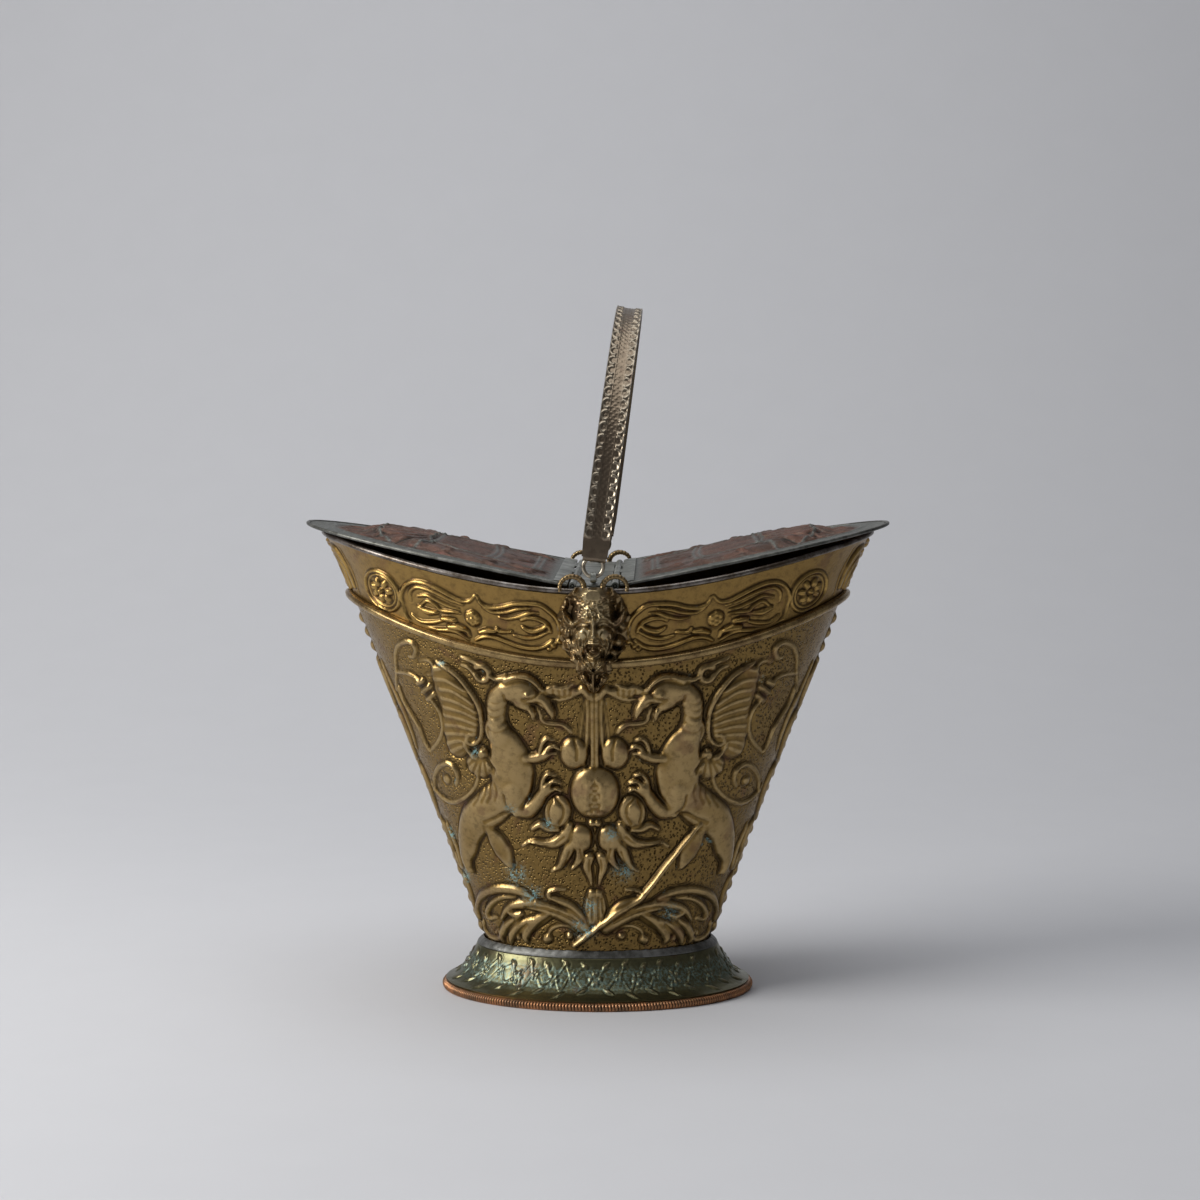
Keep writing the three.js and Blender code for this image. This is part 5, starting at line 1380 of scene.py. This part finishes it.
def strap():
    """A bent strap: scalloped shells along both edges, a band of small scales between, plain at the ends."""
    cols, rows = ((40, 1120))
    t = np.linspace(0, 1, rows + 1)
    y = -STRAP_REACH * np.cos(math.pi * t)
    z = HANDLE_LOW + (HANDLE_HIGH - HANDLE_LOW) * np.sin(math.pi * t)
    line = np.stack([0 * t, y, z], -1)
    run = np.gradient(line, axis=0)
    run /= np.linalg.norm(run, axis=-1, keepdims=True)
    out = np.cross(run, np.array([1.0, 0, 0]))
    out *= np.sign(out[len(out) // 2, 2])
    length = np.concatenate([[0], np.cumsum(np.linalg.norm(np.diff(line, axis=0), axis=-1))])
    from_end = np.minimum(length, length[-1] - length)
    middle = length - length[-1] / 2
    u, along = np.meshgrid(np.linspace(-1, 1, cols + 1), middle)
    half = STRAP_WIDTH / 2 * (0.93 + 0.07 * smooth(2, 16, from_end))[:, None]
    x = half * u
    edge = np.abs(x)
    phase = (along / SCALLOP_PITCH) % 1 - 0.5
    shell = np.hypot((edge - 5.6) / 3.2, phase * SCALLOP_PITCH / 4.2)
    height = 0.9 * np.exp(-((shell - 0.85) / 0.3) ** 2) * smooth(3.4, 4.8, edge)
    height += 0.3 * np.exp(-(shell / 0.38) ** 2)
    height += 0.75 * np.exp(-((edge - 9.1) / 0.55) ** 2)
    dots = np.cos(2 * math.pi * along / 4.7) * np.cos(2 * math.pi * x / 4.2)
    height += 0.22 * np.maximum(dots, 0) * (1 - smooth(2.6, 3.6, edge))
    height += 0.35 * np.exp(-((edge - 3.3) / 0.4) ** 2)
    height *= smooth(12, 16, from_end)[:, None] * smooth(0, 0.6, half - edge + 0.2)
    # low_hollow darkens the strap's hollows (patina and painted shade); raised lightens the shells (rubbed wear and
    # painted highlight)
    low_hollow = soften(height, 6) - height
    middles = line[:, None] + np.stack([x, 0 * x, 0 * x], -1)
    face = middles + out[:, None] * (STRAP_THICK / 2 - 0.1 + height)[..., None]
    back = middles - out[:, None] * (STRAP_THICK / 2)
    skin = Skin()
    open_shell(skin, lean(face), lean(back[::rows // 80, ::cols // 5]), raised=np.clip(height, 0, 1),
               hollow=np.clip(low_hollow * 2.4, -1, 1))
    for side in (-1, 1):
        turn = np.linspace(0, 2 * math.pi, 28, endpoint=False)
        across = np.linspace(-STRAP_WIDTH * 0.42, STRAP_WIDTH * 0.42, 6)[:, None] + 0 * turn
        ring = lambda r: lean(np.stack([across, side * RING_DISTANCE + r * np.cos(turn) + 0 * across,
                                        RING_RADIUS + r * np.sin(turn) + 0 * across], -1))
        skin.pierced(ring(EYE_RADIUS), ring(LUG_HOLE))
    skin.build("handle_embossed_strap", "handle", ["handle_strap"], "handle_bronze", HANDLE_BRONZE, 60)


strap()


# ---------------------------------------------------------------- satyr masks
# Places are across and up in mm, heights in mm over the wall.

MASK_EDGE = [(0, 0.5), (0.12, 0.8), (0.3, 1), (0.46, 0.97), (0.6, 0.8), (0.72, 0.5), (0.85, 0.42), (1, 0.05)]
CURLS = [(-12, 296), (-8, 299), (-3.5, 297), (1, 300), (5, 297), (9, 299.5), (12.5, 296), (-13.5, 302), (-9, 305),
         (-4.5, 303.5), (0, 306), (4.5, 303.5), (9, 305), (13, 302), (-10, 292.5), (-5.5, 293), (0, 294.5),
         (5.5, 293), (10, 292.5)]
MASK_LEAVES = [(-21.5, 301, 4.2, 5.4, 20), (-22, 294, 3.8, 5, -10), (-19.5, 286, 3.6, 4.6, 20),
               (-18.5, 279.5, 4, 5.4, -14), (-16.5, 271, 4.4, 5.2, 24), (-13.5, 264.5, 3.6, 4.4, 40),
               (20.5, 296, 4.8, 7.4, -8), (20, 284, 3.6, 4.6, -20), (-7, 246, 4, 5.4, 24), (6.6, 246, 4, 5.6, -24),
               (-2.5, 241, 3, 4.4, 10), (2.5, 240, 3, 4.2, -10)]
GRAPES = [(17.4, 273.5, 4.6), (14.6, 265.5, 4.0), (20.6, 266.5, 3.2), (11.5, 260, 2.8)]
BUDS = [(-7.4, 256.2, 3.5, 5.4), (4.8, 254.6, 4.3, 5.8)]
BEARD = [
    [(13, 279), (13, 270), (9.5, 262), (5.5, 257)], [(10.5, 276), (10.5, 268), (7.5, 260.5), (3.8, 255.5)],
    [(8, 270), (7.4, 263.5), (4.8, 258), (2, 253.5)], [(4.5, 261.5), (2.8, 257), (0.6, 252)],
]


def wall_front(x, z):
    """How far in front the wall stands at the masks: rib and rim counted, as the mask's back lies on them."""
    phi = np.arcsin(np.clip(x / MASK_SPREAD, -1, 1))
    rib, rim = rib_height(phi), rim_height(phi)
    level = np.where(z < rib, (z - BASE_HEIGHT) / (rib - BASE_HEIGHT), 1)
    upper = np.clip((z - rib) / (rim - rib), 0, 1)
    bow = BODY_HOLLOW * 4 * level * (1 - level) + COLLAR_BOW * 4 * upper * (1 - upper)
    half = mix(mix(BASE_OVAL[1], RIB_OVAL[1], level), RIM_OVAL[1], upper) - bow
    over_rib = (RIB_PROUD + 0.6) * (1 - smooth(RIB_TALL / 2, RIB_TALL / 2 + 3, np.abs(z - rib)))
    over_rim = (ROLL_RADIUS + 0.4) * smooth(rim - ROLL_RADIUS - 3, rim - ROLL_RADIUS, z)
    return half * np.cos(phi) + over_rib + over_rim + CLEARANCE


def mask_half_width(z):
    """Half the mask's width at a height, read from MASK_EDGE and lobed by 5 %."""
    down = (MASK_TOP - z) / (MASK_TOP - MASK_BOTTOM)
    table = np.array(MASK_EDGE)
    lobes = 1 + 0.05 * np.sin(z * 0.85) * smooth(0.1, 0.3, down)
    return MASK_HALF_WIDTH * np.minimum(np.interp(down, *table.T) * lobes, 1)


def draw_mask(m):
    """Leaves, grapes and buds round a face: cheeks, brows, eyes, nose, mouth, beard, and curls over the brow."""
    m.height += 1.6
    for x, z, rx, rz, turn in MASK_LEAVES:
        m.bulb((x, z), (rx, rz), 7.0 if z > 250 else 8.0, turn)
        lean_x, lean_z = -math.sin(math.radians(turn)) * rz, math.cos(math.radians(turn)) * rz
        m.ridge([(x - lean_x, z - lean_z), (x + lean_x, z + lean_z)], 0.8, -1.2)
        for bite in (-0.45, 0.35):
            m.ridge([(x + lean_x * bite - rx, z + lean_z * bite + 1.5), (x + lean_x * bite, z + lean_z * bite)], 0.7,
                    -1.0)
    for x, z, r in GRAPES:
        m.bulb((x, z), (r, r), 7 + r * 0.9)
    m.swell([(0, 262), (-0.5, 252), (-0.5, 243), (0, 237.5)], [2.4, 2, 1.6, 0.8], 9)
    for x, z, rx, rz in BUDS:
        m.bulb((x, z), (rx, rz), 9.5)
    m.bulb((0, 284), (16.5, 27), 17.5)
    m.bulb((0, 306), (12.5, 10), 15.5)
    m.bulb((0, 262), (9, 13), 14.5)
    for side in (-1, 1):
        at = lambda *places: [(side * x, z) for x, z in places]
        m.swell(at((15, 286), (19, 290), (22, 296)), [3.4, 3.4, 1.4], 12)
        m.ridge(at((16.5, 287.5), (20.5, 293)), 1.2, -2)
        m.ridge(at((1.8, 288.6), (5.5, 291.6), (10, 290.6), (13.6, 287)), 2.1, 2.6)
        m.ridge(at((3, 285.2), (7, 286.4), (11.6, 284.2)), 2.9, -3.6)
        m.bulb(at((6.6, 285))[0], (2.9, 1.8), 2.4, add=True)
        m.ridge(at((3.6, 286), (6.6, 287.2), (10, 285.6)), 0.8, 1.3)
        m.ridge(at((3.8, 283.8), (6.6, 282.9), (10, 284)), 0.8, 0.9)
        m.bulb(at((9.2, 278.6))[0], (4.6, 4.8), 3.0, add=True)
        m.ridge(at((3.6, 278), (5.8, 273.5), (7.6, 268), (6.6, 263)), 1.3, -2.6)
        m.ridge(at((0.6, 273.4), (4, 272.6), (7.6, 269), (8.8, 263.5)), 1.9, 2.4)
        m.ridge(at((13.2, 282), (13.4, 275), (11.4, 268.5)), 1.2, -2.0)
        for strand in BEARD:
            m.ridge(at(*strand), [2.0, 2.0, 1.8, 1.2], 2.6)
            m.ridge([(x - side * 1.8, z) for x, z in at(*strand)], 0.8, -1.4)
        m.ridge(at((11, 300), (13, 306), (14, 311)), 3.4, 4.0)
    m.swell([(0, 291), (0, 285), (0, 279.5)], [2.0, 2.6, 3.0], 21.5)
    m.bulb((0, 278.2), (3.9, 3.2), 23.0)
    for x in (-3.5, 3.5):
        m.bulb((x, 277.2), (1.9, 1.7), 1.9, add=True)
    m.ridge([(-4.2, 270.6), (0, 269), (4.2, 270.6)], 2.9, -5.2)
    m.ridge([(-3.4, 267.6), (0, 265.8), (3.4, 267.6)], 2.2, -3.4)
    m.bulb((0, 268.2), (3.2, 1.2), 2.0, add=True)
    m.ridge([(-4.4, 266), (0, 263.6), (4.4, 266)], 1.3, 2.4)
    for x, z in CURLS:
        m.bulb((x, z), (2.7, 2.5), 2.6, add=True)
        m.bulb((x + 0.3, z - 0.3), (1.1, 1.0), -2.0, add=True)
        m.ridge([(x - 2.6, z + 0.4), (x - 1, z + 2.4), (x + 1.6, z + 1.8)], 0.7, 0.9)


def satyr(name, side):
    """A mask on the wall with its two horns, hollowed at the top middle to leave room for the ring's lug."""
    rows, cols = ((216, 144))
    z, w = np.meshgrid(np.linspace(MASK_BOTTOM + 0.3, MASK_TOP, rows + 1), np.linspace(-1, 1, cols + 1),
                       indexing="ij")
    x = w * mask_half_width(z)
    relief = Relief(x, z)
    draw_mask(relief)
    height = soften(relief.height, 3)
    height = np.maximum(height, 0.9)
    reach = np.minimum(wall_front(x, z) + height * smooth(-0.1, 0.12, 1 - np.abs(w)), MASK_REACH)
    under_lug = (np.abs(x) < LUG_ROOM) & (z > LUG_ROOM_FROM)
    reach = np.where(under_lug, np.minimum(reach, LUG_ROOM_REACH), reach)
    outer = np.stack([x, -reach, z], -1)
    inner = np.stack([x, -wall_front(x, z) - 0.15, z], -1)[::12, ::12]
    if side > 0:
        outer, inner = turned_round(outer), turned_round(inner)
    skin = Skin()
    # hollow darkens the mask's recesses (patina and painted shade); raised lightens its high parts (rubbed wear and
    # painted highlight)
    hollow = np.clip((soften(height, 12) - height) / 1.8, -1, 1)
    open_shell(skin, outer, inner, raised=np.clip((height - 6) / 16, 0, 1), hollow=hollow)
    for horn in (-1, 1):
        a = np.linspace(1.12 * math.pi, -0.12 * math.pi, 90)
        line = np.stack([horn * (HORN_MIDDLE + HORN_SPAN * np.cos(a)), np.full(90, -HORN_DISTANCE),
                         MASK_TOP + 0.9 * HORN_SPAN * np.sin(a)], -1)
        taper = HORN_RADIUS * (1.0 - 0.4 * np.linspace(0, 1, 90) ** 2) + 0.14 * np.sin(np.arange(90) * 0.95)
        if side > 0:
            line = turned_round(line)
        add_tube(skin, line, taper, 16)
    skin.build(f"{name}_satyr", "root", [name], "mask_bronze", MASK_BRONZE, 60)


satyr("mask_front", -1)
satyr("mask_back", 1)


# ---------------------------------------------------------------- floor, light and camera

def stage_grid(name, points, material):
    mesh = bpy.data.meshes.new(name)
    quads = quads_of(np.arange(points[..., 0].size).reshape(points.shape[:2]))
    mesh.from_pydata(points.reshape(-1, 3).tolist(), [], quads.tolist())
    mesh.shade_smooth()
    mesh.materials.append(material)
    thing = bpy.data.objects.new(name, mesh)
    bpy.context.scene.collection.objects.link(thing)
    thing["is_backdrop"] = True


def backdrop():
    """A pale floor that curls up into a wall: its slope is 90°·(3t² - 2t³) along 3.4 m from where it starts.

    It widens away from the camera, and stops close beyond the picture's right edge."""
    paper = Finish("paper", 0.0, 0.9)
    tint = paper.blend(paper.noise(60, 3, 0.5), (0.63, 0.635, 0.66), (0.65, 0.655, 0.68))
    paper.done(tint)
    steps, curl_start, curl_length = 120, 0.4, 3.4
    slope = QUARTER_TURN * smooth(0, 1, np.linspace(0, 1, steps))
    stride = curl_length / steps
    y = np.concatenate([np.linspace(-3.2, curl_start, 20)[:-1], curl_start + stride * np.cumsum(np.cos(slope)),
                        [0] * 6])
    z = np.concatenate([np.zeros(19), stride * np.cumsum(np.sin(slope)), [0] * 6])
    y[-6:], z[-6:] = y[-7], z[-7] + np.linspace(0.3, 2.4, 6)
    left, right = -3.2 + 0 * y, np.maximum(0.32 * (y + 1.9), 0) + 0.5
    share = np.linspace(0, 1, 14)[:, None]
    points = np.stack(np.broadcast_arrays(mix(left, right, share), y[None], z[None]), -1)
    stage_grid("pale_floor", points, paper.material)


def area_light(name, place, target, size, watts, colour):
    data = bpy.data.lights.new(name, "AREA")
    data.shape = "RECTANGLE"
    data.size, data.size_y = size
    data.energy = watts
    data.color = colour
    lamp = bpy.data.objects.new(name, data)
    lamp.location = place
    lamp.rotation_euler = (Vector(target) - Vector(place)).to_track_quat("-Z", "Y").to_euler()
    bpy.context.scene.collection.objects.link(lamp)


backdrop()
area_light("window_left", (-2.2, -0.95, 1.35), (0, 0, 0.2), (1.5, 1.3), 64, (1.0, 0.985, 0.96))
area_light("soft_top", (-0.2, -0.1, 2.4), (0, 0, 0.2), (2.2, 1.6), 22, (0.97, 0.985, 1.0))
area_light("wall_wash", (0.2, 1.2, 3.1), (0.4, 3.2, 1.0), (2.6, 0.8), 9, (0.98, 0.99, 1.0))

world = bpy.data.worlds.new("pale_room")
bpy.context.scene.world = world
world.use_nodes = True
shade = world.node_tree.nodes["Background"]
shade.inputs["Color"].default_value = (0.30, 0.30, 0.315, 1)
shade.inputs["Strength"].default_value = 0.4

camera_data = bpy.data.cameras.new("camera")
camera_data.sensor_width = SENSOR
camera_data.lens = FOCAL * SENSOR / PICTURE
camera_data.clip_end = 50.0
camera = bpy.data.objects.new("camera", camera_data)
camera.location = EYE * MM
camera.rotation_euler = Vector(FORWARD).to_track_quat("-Z", "Y").to_euler()
bpy.context.scene.collection.objects.link(camera)
bpy.context.scene.camera = camera
bpy.context.scene.view_settings.view_transform = "Standard"

low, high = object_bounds()
